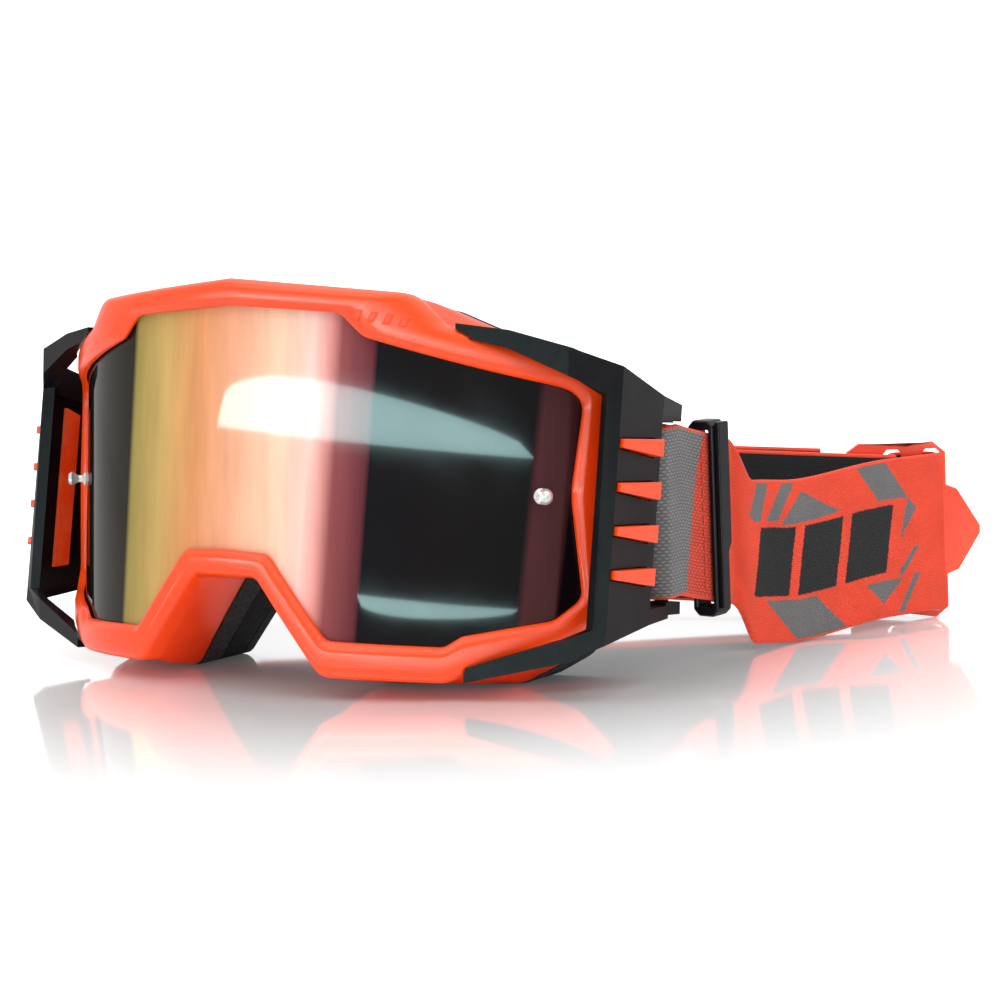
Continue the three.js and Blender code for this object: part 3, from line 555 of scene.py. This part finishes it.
def slanted(start, low, high, width, lean):
    """A slanted bar of print, its foot from start to start + width and its top moved on by lean."""
    return [(start, low), (start + width, low), (start + width + lean, high), (start + lean, high)]


GREY_SHAPES = [
    *[slanted(start, PRINT_MIDDLE + 1, PRINT_TOP, 4, lean) for start, lean in ((1, 3), (7, 6))],
    slanted(45, PRINT_MIDDLE + 1, PRINT_TOP, 10, -8),
    slanted(17, 0, PRINT_FOOT, 17, -11),
    slanted(51, 1, PRINT_FOOT, 2, 6),
    slanted(51, PRINT_FOOT, 18, 2, 6),
    [(12, PRINT_MIDDLE), (32, PRINT_MIDDLE + 1), (19, PRINT_TOP - 3)],
    [(40, PRINT_FOOT - 1), (46, 4), (53, PRINT_FOOT - 1)],
    [(52, 20), (58, 28), (55, 31)],
]
BLACK_BLOCKS = [slanted(start, PRINT_FOOT + 1, PRINT_MIDDLE - 0.5, 12 + step, 3)
                for step, start in enumerate((2, 17, 33))]


def past_the_fold(shapes):
    return [[(u + NEAR_START, v) for u, v in corners] for corners in shapes]


def webbing(name, colour, pitch=0.0009, relief=0.6, hollow_shade=0.25, prints=()):
    """Woven strap material, with printed shapes in other colours."""
    material, tree, bsdf = material_tree(name)
    place = strap_place(tree) if prints else None
    base = (*colour, 1)
    for shapes, ink in prints:
        base = mixed(tree, printed_shapes(tree, place, shapes), base, (*ink, 1))
    use_group(tree, WEBBING, bsdf, Colour=base, Pitch=pitch, Relief=relief, Contrast=hollow_shade)
    bsdf.inputs["Sheen Weight"].default_value = 0.12
    bsdf.inputs["Specular IOR Level"].default_value = 0.3
    return material


webbing_print = webbing("webbing_print", CORAL, prints=[
    (past_the_fold(GREY_SHAPES), GREY), (past_the_fold(BLACK_BLOCKS), PRINT_BLACK)])
webbing_inner = webbing("webbing_inner", (0.012, 0.012, 0.014), pitch=0.0011)
webbing_edge = webbing("webbing_edge", CORAL, pitch=0.0008)
BACK_SHAPES = [slanted(12, 0, PRINT_TOP, 28, 8), slanted(62, 0, PRINT_TOP, 34, 8)]
MESH_SHAPES = [
    [(54, 31), (64, 27), (64, 0), (47, 0)],
    [(54, 31), (58, PRINT_TOP), (64, PRINT_TOP), (64, 27)],
]
webbing_back = webbing("webbing_back", CORAL, prints=[(BACK_SHAPES, GREY)])
# the mesh gets the strongest painted shade in its hollows
webbing_mesh = webbing("webbing_mesh", (0.24, 0.235, 0.235), pitch=0.0016, relief=0.9, hollow_shade=0.6,
                       prints=[(MESH_SHAPES, CORAL)])


def along_lens(tree, slant):
    """The distance across the lens from its middle, in millimetres, leaning by slant."""
    where = tree.nodes.new("ShaderNodeTexCoord").outputs["Object"]
    split = node(tree, "ShaderNodeSeparateXYZ", inputs={0: where})
    across = maths(tree, "SUBTRACT", maths(tree, "DIVIDE", split.outputs[0], MM), ORIGIN.x / MM)
    height = maths(tree, "SUBTRACT", maths(tree, "DIVIDE", split.outputs[2], MM), REST_HEIGHT)
    return maths(tree, "SUBTRACT", across, maths(tree, "MULTIPLY", height, slant))


LENS_REACH = 82.0


def lens_stop(x):
    return (x / LENS_REACH + 1) / 2


def mirror_lens():
    """A mirror coat that runs from olive and gold through peach and rose into near black: the coat's own
    tint mixed with painted reflections of the studio; the sharp band edges and the narrow dark red stripes
    are painted reflections.
    """
    material, tree, bsdf = material_tree("mirror_lens")
    where = tree.nodes.new("ShaderNodeTexCoord").outputs["Object"]
    across = along_lens(tree, slant=0.06)
    place = stretch(tree, across, -LENS_REACH, LENS_REACH)
    # painted reflection: the studio's reflections are painted into the coat's colour across the lens
    coat_and_painted_reflection = ramp(tree, place, [
        (lens_stop(-78), (0.006, 0.005, 0.003)), (lens_stop(-52), (0.012, 0.008, 0.004)),
        (lens_stop(-37), (0.014, 0.01, 0.004)), (lens_stop(-35.5), (0.32, 0.25, 0.06)),
        (lens_stop(-24), (0.55, 0.36, 0.12)), (lens_stop(-12), (0.72, 0.3, 0.12)),
        (lens_stop(0), (0.86, 0.4, 0.24)), (lens_stop(14), (0.95, 0.6, 0.42)),
        (lens_stop(22.5), (0.95, 0.62, 0.54)), (lens_stop(27), (0.74, 0.3, 0.27)),
        (lens_stop(30), (0.28, 0.07, 0.075)), (lens_stop(38.2), (0.115, 0.022, 0.03)),
        (lens_stop(38.8), (0.002, 0.0015, 0.003)), (lens_stop(56), (0.003, 0.0015, 0.002)),
        (lens_stop(71.4), (0.002, 0.0015, 0.002)), (lens_stop(72.2), (0.075, 0.018, 0.022)),
        (lens_stop(77.4), (0.06, 0.016, 0.018)), (lens_stop(78), (0.005, 0.003, 0.005)),
    ])
    streaks = node(tree, "ShaderNodeMapping", inputs={"Vector": where, "Scale": (1, 1, 0.02)}).outputs[0]
    streak = noise_at(tree, streaks, 260.0, 4.0, 0.6)
    shade = stretch(tree, streak, 0.3, 0.7, 0.9, 1.08)
    tree.links.new(shaded(tree, coat_and_painted_reflection, shade), bsdf.inputs["Base Color"])
    haze = noise_at(tree, where, 60.0, 5.0, 0.6)
    tree.links.new(stretch(tree, haze, 0.3, 0.7, 0.03, 0.07), bsdf.inputs["Roughness"])
    gloss = stretch(tree, across, -60, 0, 0.15, 1.0)
    tree.links.new(gloss, bsdf.inputs["Coat Weight"])
    bsdf.inputs["Coat Roughness"].default_value = 0.02
    bsdf.inputs["Coat IOR"].default_value = 1.17
    bsdf.inputs["Specular IOR Level"].default_value = 0.05
    return material


lens_coat_and_reflections = mirror_lens()

# ---- front: bezel, brow ridges, lens ----


BEZEL_BACK = -4.2
FRAME_GAP = 0.35


def make_bezel():
    """The bezel's section, as shares of the way from the lens opening to its outline, and heights."""
    section = [
        (0, 0.5), (0, 1.2), (0.04, 1.7), (0.15, 2.45), (0.22, 2.75), (0.3, 2.85), (0.55, 2.85), (0.68, 2.78),
        (0.8, 2.5), (0.9, 1.9), (0.97, 1.1), (1, 0.2), (1, BEZEL_BACK), (0.8, BEZEL_BACK), (0.74, 0.5)]
    loops = [loop_on_lens(between(opening, bezel_outer, share), out) for share, out in section]
    piece = ring_piece("bezel_shell", loops, [bezel_orange])
    hold(piece, "frame", "bezel", "front_bezel")


def make_lens():
    columns, rows = 160, 10
    hidden = 1.9  # how far the lens runs on under the bezel
    side, last_cut = 81.0, 79.0

    def span(x):
        heights = []
        for a, b in zip(opening, opening[1:] + opening[:1]):
            if (a.x - x) * (b.x - x) <= 0 and a.x != b.x:
                heights.append(a.y + (b.y - a.y) * (x - a.x) / (b.x - a.x))
        return min(heights), max(heights)

    def place(column, row):
        x = side * math.sin((column / columns * 2 - 1) * math.pi / 2)
        low, high = span(max(-last_cut, min(last_cut, x)))
        ring = row % (2 * rows)
        back = ring >= rows
        share = (2 * rows - 1 - ring if back else ring) / (rows - 1)
        z = low - hidden + (high - low + 2 * hidden) * share
        return on_lens(x, z, -LENS_THICKNESS if back else 0)

    bm = placed_grid(columns, 2 * rows, place, cap_ends=True)
    piece = finished("lens_sheet", bm, [lens_coat_and_reflections])
    hold(piece, "frame", "lens", "lens")


BROW_RIDGES = 4
RIDGE_FIRST, RIDGE_PITCH, RIDGE_STEP_DOWN = Vector((35.5, 42.2)), 3.5, 0.55
RIDGE_WIDE, RIDGE_TALL = Vector((2.1, -0.3)), Vector((1.2, 2.9))
RIDGE_TOP, RIDGE_FOOT = 3.1, 2.5  # in front of the lens; the foot is sunk into the bezel
RIDGE_CUTS = 6


def make_brow_ridges():
    """Low slanted ridges moulded into the brow."""
    for number in range(BROW_RIDGES):
        corner = RIDGE_FIRST + number * Vector((RIDGE_PITCH, -RIDGE_STEP_DOWN))

        def place(column, row):
            at = corner + RIDGE_WIDE * column / RIDGE_CUTS + RIDGE_TALL * row / RIDGE_CUTS
            inside = 0 < column < RIDGE_CUTS and 0 < row < RIDGE_CUTS
            return on_lens(at.x, at.y, RIDGE_TOP if inside else RIDGE_FOOT)

        bm = placed_grid(RIDGE_CUTS, RIDGE_CUTS, place)
        ridge = finished(f"brow_ridge_{number + 1}", bm, [frame_orange], smooth_angle=60)
        hold(ridge, "frame", "bezel")


make_bezel()
make_brow_ridges()
make_lens()

# ---- body: face frame and foam ----

rear_outline = outline_points(foam_outline(0, rear_depth))
FRAME_WALL = 2.4
FLANGE_REACH = 0.8


def make_face_frame():
    front = BEZEL_BACK - FRAME_GAP

    def middle_depth(x):
        return 0.5 * (rear_depth(x) + lens_depth(x))

    def flange_depth(x):
        return rear_depth(x) - FRAME_WALL

    flange = between(opening, face_opening, FLANGE_REACH)
    loops = [
        loop_on_lens(between(opening, bezel_outer, 0.5), front),
        loop_on_lens(between(opening, bezel_outer, 0.94), front),
        loop_at_depth(between(bezel_outer, rear_outline, 0.5), middle_depth),
        loop_at_depth(between(opening, rear_outline, 0.98), lambda x: rear_depth(x) - 0.8),
        loop_at_depth(between(opening, rear_outline, 0.95), rear_depth),
        loop_at_depth(flange, rear_depth),
        loop_at_depth(flange, flange_depth),
        loop_at_depth(between(opening, rear_outline, 0.66), flange_depth),
    ]
    piece = ring_piece("frame_shell", loops, [frame_orange])
    hold(piece, "frame", "frame", "face_frame")


FOAM_GAP = 0.6  # between the face frame and the first layer
FOAM_TAPER = 1.4
ROUNDED_SHARE = 0.3  # of a layer's thickness, at each of its outer edges


def make_foam(name, node_name, start, stop, inset, material, crown):
    """A foam layer between two shares of the way to the face, with its cut edges rounded over."""
    thickness = stop - start

    def depth(share):
        return lambda x: rear_depth(x) + FOAM_GAP + (face_depth(x) - rear_depth(x) - FOAM_GAP) * share

    def outer(share, pull):
        whole = (share - start) / thickness
        return outline_points(foam_outline(inset + FOAM_TAPER * whole + pull, depth(share)))

    loops = []
    steps = 5
    for step in range(steps + 1):
        angle = math.pi / 2 * step / steps
        share = start + thickness * ROUNDED_SHARE * (1 - math.cos(angle))
        loops.append(loop_at_depth(outer(share, crown * (1 - math.sin(angle))), depth(share)))
    for step in range(steps + 1):
        angle = math.pi / 2 * step / steps
        share = stop - thickness * ROUNDED_SHARE * (1 - math.sin(angle))
        loops.append(loop_at_depth(outer(share, crown * (1 - math.cos(angle))), depth(share)))
    for share in (1.0, 0.5, 0.0):
        loops.append(loop_at_depth(face_opening, depth(start + thickness * share)))
    piece = ring_piece(name, loops, [material], smooth_angle=60)
    hold(piece, "frame", node_name, node_name)


make_face_frame()
make_foam("foam_layer_base", "foam_base", 0, 0.36, 0, foam_grey, 0.5)
make_foam("foam_layer_middle", "foam_middle", 0.38, 0.82, FOAM_TAPER, foam_black, 0.6)
make_foam("foam_layer_face", "foam_face", 0.84, 1, 2 * FOAM_TAPER, fleece, 0.9)

# ---- outriggers, posts and gasket ----


def paint(node_name, material):
    """Gives a CAD node that is shown as it is its material."""
    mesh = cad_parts[node_name].data
    mesh.materials.clear()
    mesh.materials.append(material)


for side in ("left", "right"):
    wing = refined_copy(f"{side}_wing", f"{side}_outrigger", [outrigger_black], 0.5)
    hold(wing, "frame", "outrigger", f"{side}_outrigger")
    for number in (1, 2, 3, 4):
        rib_node = f"{side}_outrigger_rib_{number}"
        rib = refined_copy(f"{side}_wing_rib_{number}", rib_node, [bezel_orange], 0.3)
        hold(rib, "frame", "rib", rib_node)
    paint(f"{side}_outrigger_liner", frame_orange)
    paint(f"{side}_tearoff_post", clear)
    paint(f"{side}_post_collar", gasket_black)
paint("lens_gasket", gasket_black)

# ---- where the strap runs, in the standing axes ----

STRAP_WIDTH, STRAP_THICKNESS = 41.5, 1.6
LAYER_PITCH = 2.1  # between the two layers of a doubled strap
STRAP_DROOP, DROOP_START = 0.25, 6
END_LOOP_BASE = 18
FOLD_LIFT, GROUND = 1.25, 0.05
BUCKLE_LIFT = 2.3
BAR_RADIUS = 1.7
SLIDER_PLACE = 21.5
LEFT_BAR, RIGHT_BAR = Vector((85.6, 57)), Vector((-85.6, 57))
FOLD, RIGHT_TURN = Vector((87.6, 90.5)), Vector((-62, 79))
left_way = (FOLD - LEFT_BAR).normalized()
right_way = (RIGHT_TURN - RIGHT_BAR).normalized()
BUCKLE = Vector((108.8, 145.6))
BUCKLE_ANGLE = math.radians(30)
plate_way = Vector((math.cos(BUCKLE_ANGLE), math.sin(BUCKLE_ANGLE)))
plate_out = Vector((plate_way.y, -plate_way.x))


def on_plate(u, w):
    return BUCKLE + plate_way * u + plate_out * w


def droop(distance):
    return END_LOOP_BASE - STRAP_DROOP * max(0, distance - DROOP_START)


# ---- sliders and rear buckle ----

for side in ("left", "right"):
    slider = refined_copy(f"{side}_ladder_slider", f"{side}_slider", [slider_black], 0.5)
    hold(slider, f"{side}_slider_body", "slider", f"{side}_slider")
SLIDER_SLACK, SLIDER_WALL = 0.35, 1.45
# its wall's outer face, from the middle of the doubled strap
SLIDER_OUT = LAYER_PITCH / 2 + STRAP_THICKNESS / 2 + SLIDER_SLACK + SLIDER_WALL


def block(name, corners, depth, place, material, bevel):
    """A plate with a drawn outline and a depth; place(a, b, out) puts it in the frame."""
    bm = bmesh.new()
    face = [bm.verts.new(place(a, b, depth)) for a, b in corners]
    bm.faces.new(face)
    pulled = bmesh.ops.extrude_face_region(bm, geom=bm.faces[:])
    moved = [v for v in pulled["geom"] if isinstance(v, bmesh.types.BMVert)]
    for vertex, (a, b) in zip(moved, corners):
        vertex.co = place(a, b, 0)
    bmesh.ops.recalc_face_normals(bm, faces=bm.faces)
    piece = finished(name, bm, [material])
    add_bevel(piece, bevel)
    return piece


STITCH_LENGTH, STITCH_PITCH = 2.2, 3.2
STITCH_WIDTH, STITCH_HEIGHT = 0.56, 0.4
STITCH_FIRST, STITCH_FREE = 2.5, 4  # the lowest stitch, and the width of strap left without any
STITCH_RISE = 0.12  # of a stitch's middle, off the strap's face
STITCH_AWAY = 5.2  # from the slider, towards the bar


def make_stitches(side, body, bar, way, out):
    """A row of thread across the turned-back end of the strap, beside the slider."""
    distance = SLIDER_PLACE - STITCH_AWAY
    base = droop(distance) + STITCH_FIRST + STITCH_LENGTH / 2
    bm = bmesh.new()
    middle = bar + way * distance + out * (LAYER_PITCH / 2 + STRAP_THICKNESS / 2 + STITCH_RISE)
    turn = way.to_3d().to_track_quat("X", "Z").to_matrix().to_4x4()
    size = Matrix.Diagonal((STITCH_WIDTH / 2 * MM, STITCH_HEIGHT / 2 * MM, STITCH_LENGTH / 2 * MM, 1))
    for number in range(int((STRAP_WIDTH - STITCH_FREE) / STITCH_PITCH)):
        at = standing(middle.x, middle.y, base + number * STITCH_PITCH)
        bmesh.ops.create_icosphere(bm, subdivisions=2, radius=1, matrix=Matrix.Translation(at) @ turn @ size)
    thread = finished(f"{side}_stitching", bm, [webbing_edge], smooth_angle=80)
    hold(thread, body, "strap_mesh")


GRIP_OUTLINE = [(-2.2, 44.6), (2.2, 44.6), (2.2, 14.8), (0.9, 12.6), (0.9, -1.4), (-2.2, -1.4)]
GRIP_RAISED = 1.4


def make_slider_grip(side, bar, way, out):
    """The slider's raised grip: wide over its upper part and stepping in to a narrow foot."""
    base = droop(SLIDER_PLACE)

    def place(a, b, raised):
        at = bar + way * (SLIDER_PLACE + a) + out * (SLIDER_OUT + raised)
        return standing(at.x, at.y, base + b)

    grip = block(f"{side}_slider_grip", GRIP_OUTLINE, GRIP_RAISED, place, slider_black, 0.35)
    hold(grip, f"{side}_slider_body", "slider")


plate = refined_copy("rear_plate", "rear_buckle", [buckle_orange], 0.6)
hold(plate, "strap_near", "buckle", "rear_buckle")

# ---- strap ----

def smoothed(points, step=1.0):
    """An even run of points on a smooth curve through the given ones."""
    spots = [points[0] * 2 - points[1], *points, points[-1] * 2 - points[-2]]
    fine = []
    for a, b, c, d in zip(spots, spots[1:], spots[2:], spots[3:]):
        count = max(2, round((c - b).length / 0.4))
        for i in range(count):
            t = i / count
            fine.append(0.5 * (2 * b + (c - a) * t + (2 * a - 5 * b + 4 * c - d) * t * t
                               + (3 * b - a - 3 * c + d) * t**3))
    fine.append(points[-1])
    walked = [0.0]
    for a, b in zip(fine, fine[1:]):
        walked.append(walked[-1] + (b - a).length)
    count = max(2, round(walked[-1] / step))
    even, at = [], 0
    for i in range(count + 1):
        goal = walked[-1] * i / count
        while at + 2 < len(fine) and walked[at + 1] < goal:
            at += 1
        share = (goal - walked[at]) / (walked[at + 1] - walked[at])
        even.append(fine[at].lerp(fine[at + 1], min(max(share, 0), 1)))
    return even, walked[-1]


FACE_ROWS = 24
EDGE_ROWS = 4
OUTER_FACE, INNER_FACE, EDGE_FACE = 0, 1, 2  # which of a strap's three materials a face has
RIPPLE = 0.12  # how far a strap's faces stray from flat
RIPPLE_LONG, RIPPLE_HIGH = 14, 9


def band_section():
    """Round the strap's section: the distance out of its middle, the height, and which face it is."""
    half = STRAP_THICKNESS / 2
    section = []
    for row in range(FACE_ROWS):
        section.append((half, half + (STRAP_WIDTH - 2 * half) * row / FACE_ROWS, OUTER_FACE))
    for row in range(EDGE_ROWS):
        angle = math.pi * row / EDGE_ROWS
        section.append((half * math.cos(angle), STRAP_WIDTH - half + half * math.sin(angle), EDGE_FACE))
    for row in range(FACE_ROWS):
        height = STRAP_WIDTH - half - (STRAP_WIDTH - 2 * half) * row / FACE_ROWS
        section.append((-half, height, INNER_FACE))
    for row in range(EDGE_ROWS):
        angle = math.pi * row / EDGE_ROWS
        section.append((-half * math.cos(angle), half - half * math.sin(angle), EDGE_FACE))
    return section


def band(name, points, base, materials):
    """A strap on edge along plan points; its outer face looks to the right of the way it runs."""
    path, length = smoothed(points)
    section = band_section()
    columns, rows = len(path) - 1, len(section)
    walked = [length * i / columns for i in range(columns + 1)]
    rights = []
    for i in range(columns + 1):
        way = path[min(i + 1, columns)] - path[max(i - 1, 0)]
        rights.append(Vector((way.y, -way.x)).normalized())

    def place(column, row):
        out, height, _ = section[row % rows]
        spot = Vector((walked[column] / RIPPLE_LONG, height / RIPPLE_HIGH, len(name)))
        ripple = RIPPLE * noise.noise(spot)
        at = path[column] + rights[column] * (out + ripple)
        return standing(at.x, at.y, base(path[column], walked[column]) + height)

    bm = bmesh.new()
    uv = bm.loops.layers.uv.new("UVMap")
    bmesh.ops.create_grid(bm, x_segments=columns, y_segments=rows, size=0.5)
    corners = {}
    for vertex in bm.verts:
        corners[vertex] = (round((vertex.co.x + 0.5) * columns), round((vertex.co.y + 0.5) * rows))
    for face in bm.faces:
        face.material_index = section[min(corners[loop.vert][1] for loop in face.loops)][2]
        for loop in face.loops:
            column, row = corners[loop.vert]
            loop[uv].uv = (walked[column] * MM, section[row % rows][1] * MM)
    for vertex, (column, row) in corners.items():
        vertex.co = place(column, row)
    bmesh.ops.remove_doubles(bm, verts=bm.verts, dist=1e-6)
    ends = [edge for edge in bm.edges if edge.is_boundary]
    bmesh.ops.holes_fill(bm, edges=ends, sides=0)
    bmesh.ops.recalc_face_normals(bm, faces=bm.faces)
    piece = finished(name, bm, materials, smooth_angle=50)
    return piece, length


LAYERS_MEET = 12  # how far from the bar's middle the two layers come together
WRAP_STEPS = 8


def bar_wrap(bar, way, start, stop, gap):
    """From one layer round the bar and back along the other."""
    side = Vector((-way.y, way.x)) * LAYER_PITCH / 2
    radius = BAR_RADIUS + gap + STRAP_THICKNESS / 2
    points = [bar + way * start + side, bar + way * LAYERS_MEET + side]
    for step in range(WRAP_STEPS + 1):
        angle = math.pi * step / WRAP_STEPS
        across = side.normalized() * radius * math.cos(angle)
        points.append(bar + across - way * radius * math.sin(angle))
    points += [bar + way * LAYERS_MEET - side, bar + way * stop - side]
    return points


def drooping(bar, way):
    return lambda at, walked: droop((at - bar).dot(way))


def eased(value, low, high):
    t = min(max((value - low) / (high - low), 0), 1)
    return t * t * (3 - 2 * t)


def cloth(piece, body, slot, length, rests_on, *nodes):
    hold(piece, body, slot, *nodes)


LOOP_OVERLAP = 30  # how far past the bar the turned-back end runs


def make_left_strap():
    points = bar_wrap(LEFT_BAR, left_way, LOOP_OVERLAP, SLIDER_PLACE + 2, 0.4)
    loop, length = band("left_loop_band", points, drooping(LEFT_BAR, left_way),
                        [webbing_mesh, webbing_inner, webbing_edge])
    cloth(loop, "strap_front", "strap_mesh", length, ["left_wing"], "strap_left_loop")

    side = Vector((left_way.y, -left_way.x))
    entry = LEFT_BAR + left_way * (SLIDER_PLACE + 1) + side * LAYER_PITCH / 2
    threaded = [(5.6, -2.6), (6.2, -4.6), (5.2, -7.4), (3.2, -8.9), (-3.2, -8.9), (-5.2, -7.4), (-5.6, -5.4)]
    swell = FOLD + side * 2.8 - left_way * 0.9
    lead = FOLD.lerp(on_plate(6, 0), 0.16) + side * 1.4
    middle = FOLD.lerp(on_plate(6, -1), 0.5)
    points = [entry, entry + left_way * 3.2, entry + left_way * 6.6, swell, lead, middle]
    points += [on_plate(u, w) for u, w in threaded]

    def base(at, walked):
        along = (at - LEFT_BAR).dot(left_way)
        high = droop(along)
        low = FOLD_LIFT * (1 - eased(at.y, FOLD.y, FOLD.y + 16)) + GROUND
        low += BUCKLE_LIFT * eased((at.y - FOLD.y) / (BUCKLE.y - 10 - FOLD.y), 0.35, 1)
        share = eased(along, SLIDER_PLACE + 7.4, SLIDER_PLACE + 14)
        return high + (low - high) * share

    run, length = band("near_band", points, base, [webbing_print, webbing_inner, webbing_edge])
    cloth(run, None, "strap_print", length, ["left_ladder_slider", "rear_plate"], "strap_near_run")
    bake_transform(run)


def make_right_strap():
    points = bar_wrap(RIGHT_BAR, right_way, SLIDER_PLACE + 2, LOOP_OVERLAP, 1.5)
    loop, length = band("right_loop_band", points, drooping(RIGHT_BAR, right_way),
                        [webbing_mesh, webbing_inner, webbing_edge])
    cloth(loop, "strap_far", "strap_mesh", length, ["right_wing"], "strap_right_loop")

    side = Vector((-right_way.y, right_way.x))
    turn_base = droop((RIGHT_TURN - RIGHT_BAR).length)
    exit_at = RIGHT_BAR + right_way * (SLIDER_PLACE + 1) + side * LAYER_PITCH / 2
    start = on_plate(-5.2, -0.2)
    middle = start.lerp(RIGHT_TURN, 0.5) + Vector((0, 1.5))
    points = [on_plate(-5.4, -4.2), start + Vector((-1.2, -0.6)), start.lerp(RIGHT_TURN, 0.12), middle,
              RIGHT_TURN + Vector((6, 4)), exit_at + right_way * 6.6, exit_at + right_way * 3.2, exit_at]

    def base(at, walked):
        share = (BUCKLE.x - at.x) / (BUCKLE.x - RIGHT_TURN.x)
        if share < 1:
            return BUCKLE_LIFT + (turn_base - BUCKLE_LIFT) * share
        return droop((at - RIGHT_BAR).dot(right_way))

    run, length = band("far_band", points, base, [webbing_back, webbing_inner, webbing_edge])
    cloth(run, "strap_far", "strap_inner", length, ["rear_plate", "right_ladder_slider"], "strap_far_run")

    way = (RIGHT_TURN - start).normalized()
    back = Vector((way.y, -way.x))
    tail_points = [start + way * along + back * gap for along, gap in (
        (20, 9), (55, 8), (90, 4.5), (120, 2.3), (127, 2.1))]
    tail, length = band("spare_tail", tail_points, base, [webbing_back, webbing_inner, webbing_edge])
    cloth(tail, "strap_far", "strap_inner", length, ["far_band"], "strap_tail")


make_left_strap()
make_right_strap()
make_stitches("left", "strap_front", LEFT_BAR, left_way, Vector((left_way.y, -left_way.x)))
make_stitches("right", "strap_far", RIGHT_BAR, right_way, Vector((-right_way.y, right_way.x)))
make_slider_grip("left", LEFT_BAR, left_way, Vector((left_way.y, -left_way.x)))
make_slider_grip("right", RIGHT_BAR, right_way, Vector((-right_way.y, right_way.x)))

# ---- camera, light and floor ----

CAMERA_AT = (402.84, -444.67, 111.68)
CAMERA_TURN = math.radians(35.94)
CAMERA_DIP = math.radians(6.58)
CAMERA_ROLL = math.radians(-2.45)
CAMERA_LENS = 89.93


def add_camera():
    data = bpy.data.cameras.new("camera")
    data.lens = CAMERA_LENS
    data.sensor_width = 36
    data.clip_start = 0.01
    camera = bpy.data.objects.new("camera", data)
    bpy.context.scene.collection.objects.link(camera)
    turn = Matrix.Rotation(CAMERA_TURN, 4, "Z")
    dip = Matrix.Rotation(math.pi / 2 - CAMERA_DIP, 4, "X")
    roll = Matrix.Rotation(CAMERA_ROLL, 4, "Z")
    camera.matrix_world = Matrix.Translation(standing(*CAMERA_AT)) @ turn @ dip @ roll
    bpy.context.scene.camera = camera


def add_area(name, at, aim, size, power):
    data = bpy.data.lights.new(name, "AREA")
    data.shape = "RECTANGLE"
    data.size, data.size_y = size
    data.energy = power
    light = bpy.data.objects.new(name, data)
    bpy.context.scene.collection.objects.link(light)
    turn = (Vector(aim) - Vector(at)).to_track_quat("-Z", "Y")
    light.matrix_world = Matrix.Translation(at) @ turn.to_matrix().to_4x4()


WORLD_SEEN, WORLD_LIGHT = 1.05, 0.5  # the world's strength as seen or mirrored, and on matt surfaces
FLOOR_GAP = 0.0002  # below the part, so that the two don't share a plane
CARD_AWAY = 1.1  # how far off the cards that show in the lens hang
CARD_COLOUR, CARD_POWER = (0.66, 1.0, 1.0), 46


def reflected(x, z):
    """Where a thing must hang for the camera to see it in the lens at x, z."""
    at, eye = on_lens(x, z, 0), standing(*CAMERA_AT)
    way = (at - eye).normalized()
    normal = lens_normal(x)
    return at + (way - 2 * way.dot(normal) * normal) * CARD_AWAY


def add_light_card(name, start, stop, height):
    """A lit card that shows in the lens as a leaf: one edge straight, the other bowed out by height."""
    columns, rows = 32, 4

    def place(column, row):
        share = column / columns
        bow = math.sin(math.pi * share**0.6) ** 0.5 if 0 < share < 1 else 0
        x, z = Vector(start).lerp(Vector(stop), share)
        return reflected(x, z + height * (0.02 + bow) * row / rows)

    bm = placed_grid(columns, rows, place)
    material = bpy.data.materials.new(name)
    material.use_nodes = True
    tree = material.node_tree
    tree.nodes.remove(tree.nodes["Principled BSDF"])
    glow = node(tree, "ShaderNodeEmission", inputs={
        "Color": (*CARD_COLOUR, 1), "Strength": CARD_POWER})
    tree.links.new(glow.outputs[0], tree.nodes["Material Output"].inputs["Surface"])
    card = finished(name, bm, [material])
    card.visible_camera = card.visible_diffuse = card.visible_shadow = False


def add_stage():
    world = bpy.data.worlds.new("studio")
    world.use_nodes = True
    backdrop = world.node_tree
    # the backdrop is seen and mirrored as white, but lights matt surfaces less than that
    background = backdrop.nodes["Background"]
    background.inputs["Color"].default_value = (1, 1, 1, 1)
    lit = backdrop.nodes.new("ShaderNodeLightPath").outputs["Is Diffuse Ray"]
    strength = stretch(backdrop, lit, 0, 1, WORLD_SEEN, WORLD_LIGHT)
    backdrop.links.new(strength, background.inputs["Strength"])
    bpy.context.scene.world = world
    material, tree, bsdf = material_tree("pale_floor")
    bsdf.inputs["Base Color"].default_value = (0.95, 0.95, 0.95, 1)
    bsdf.inputs["Roughness"].default_value = 0.07
    # mirror-like near the object; away from it, glowing to the camera so that it fades into the backdrop
    where = tree.nodes.new("ShaderNodeTexCoord").outputs["Object"]
    off = vector_maths(tree, "LENGTH", {0: where}, "Value")
    tree.links.new(stretch(tree, off, 0.1, 0.24, 0.5, 0.0), bsdf.inputs["Metallic"])
    seen = tree.nodes.new("ShaderNodeLightPath").outputs["Is Camera Ray"]
    glow = maths(tree, "MULTIPLY", stretch(tree, off, 0.08, 0.4, 0.05, 0.8), seen)
    bsdf.inputs["Emission Color"].default_value = (1, 1, 1, 1)
    tree.links.new(glow, bsdf.inputs["Emission Strength"])
    bm = bmesh.new()
    bmesh.ops.create_grid(bm, x_segments=1, y_segments=1, size=6)
    bmesh.ops.translate(bm, verts=bm.verts, vec=(0, 0, -FLOOR_GAP))
    floor = finished("floor", bm, [material])
    add_area("overhead", (0.1, 0.1, 1.6), (0, 0, 0), (2.4, 2.4), 34)
    add_area("key", (-0.5, -0.9, 1.1), (0, 0, 0.04), (0.9, 0.7), 5)
    add_area("fill", (1.1, -0.4, 0.7), (0, 0, 0.05), (0.8, 0.8), 4)
    add_light_card("upper_card", (-4, 17), (72, 11), 13.5)
    add_light_card("lower_card", (37, -21.5), (70, -24), -4)
    bpy.context.scene.view_settings.view_transform = "Standard"
    bpy.context.scene.view_settings.look = "None"


add_camera()
add_stage()
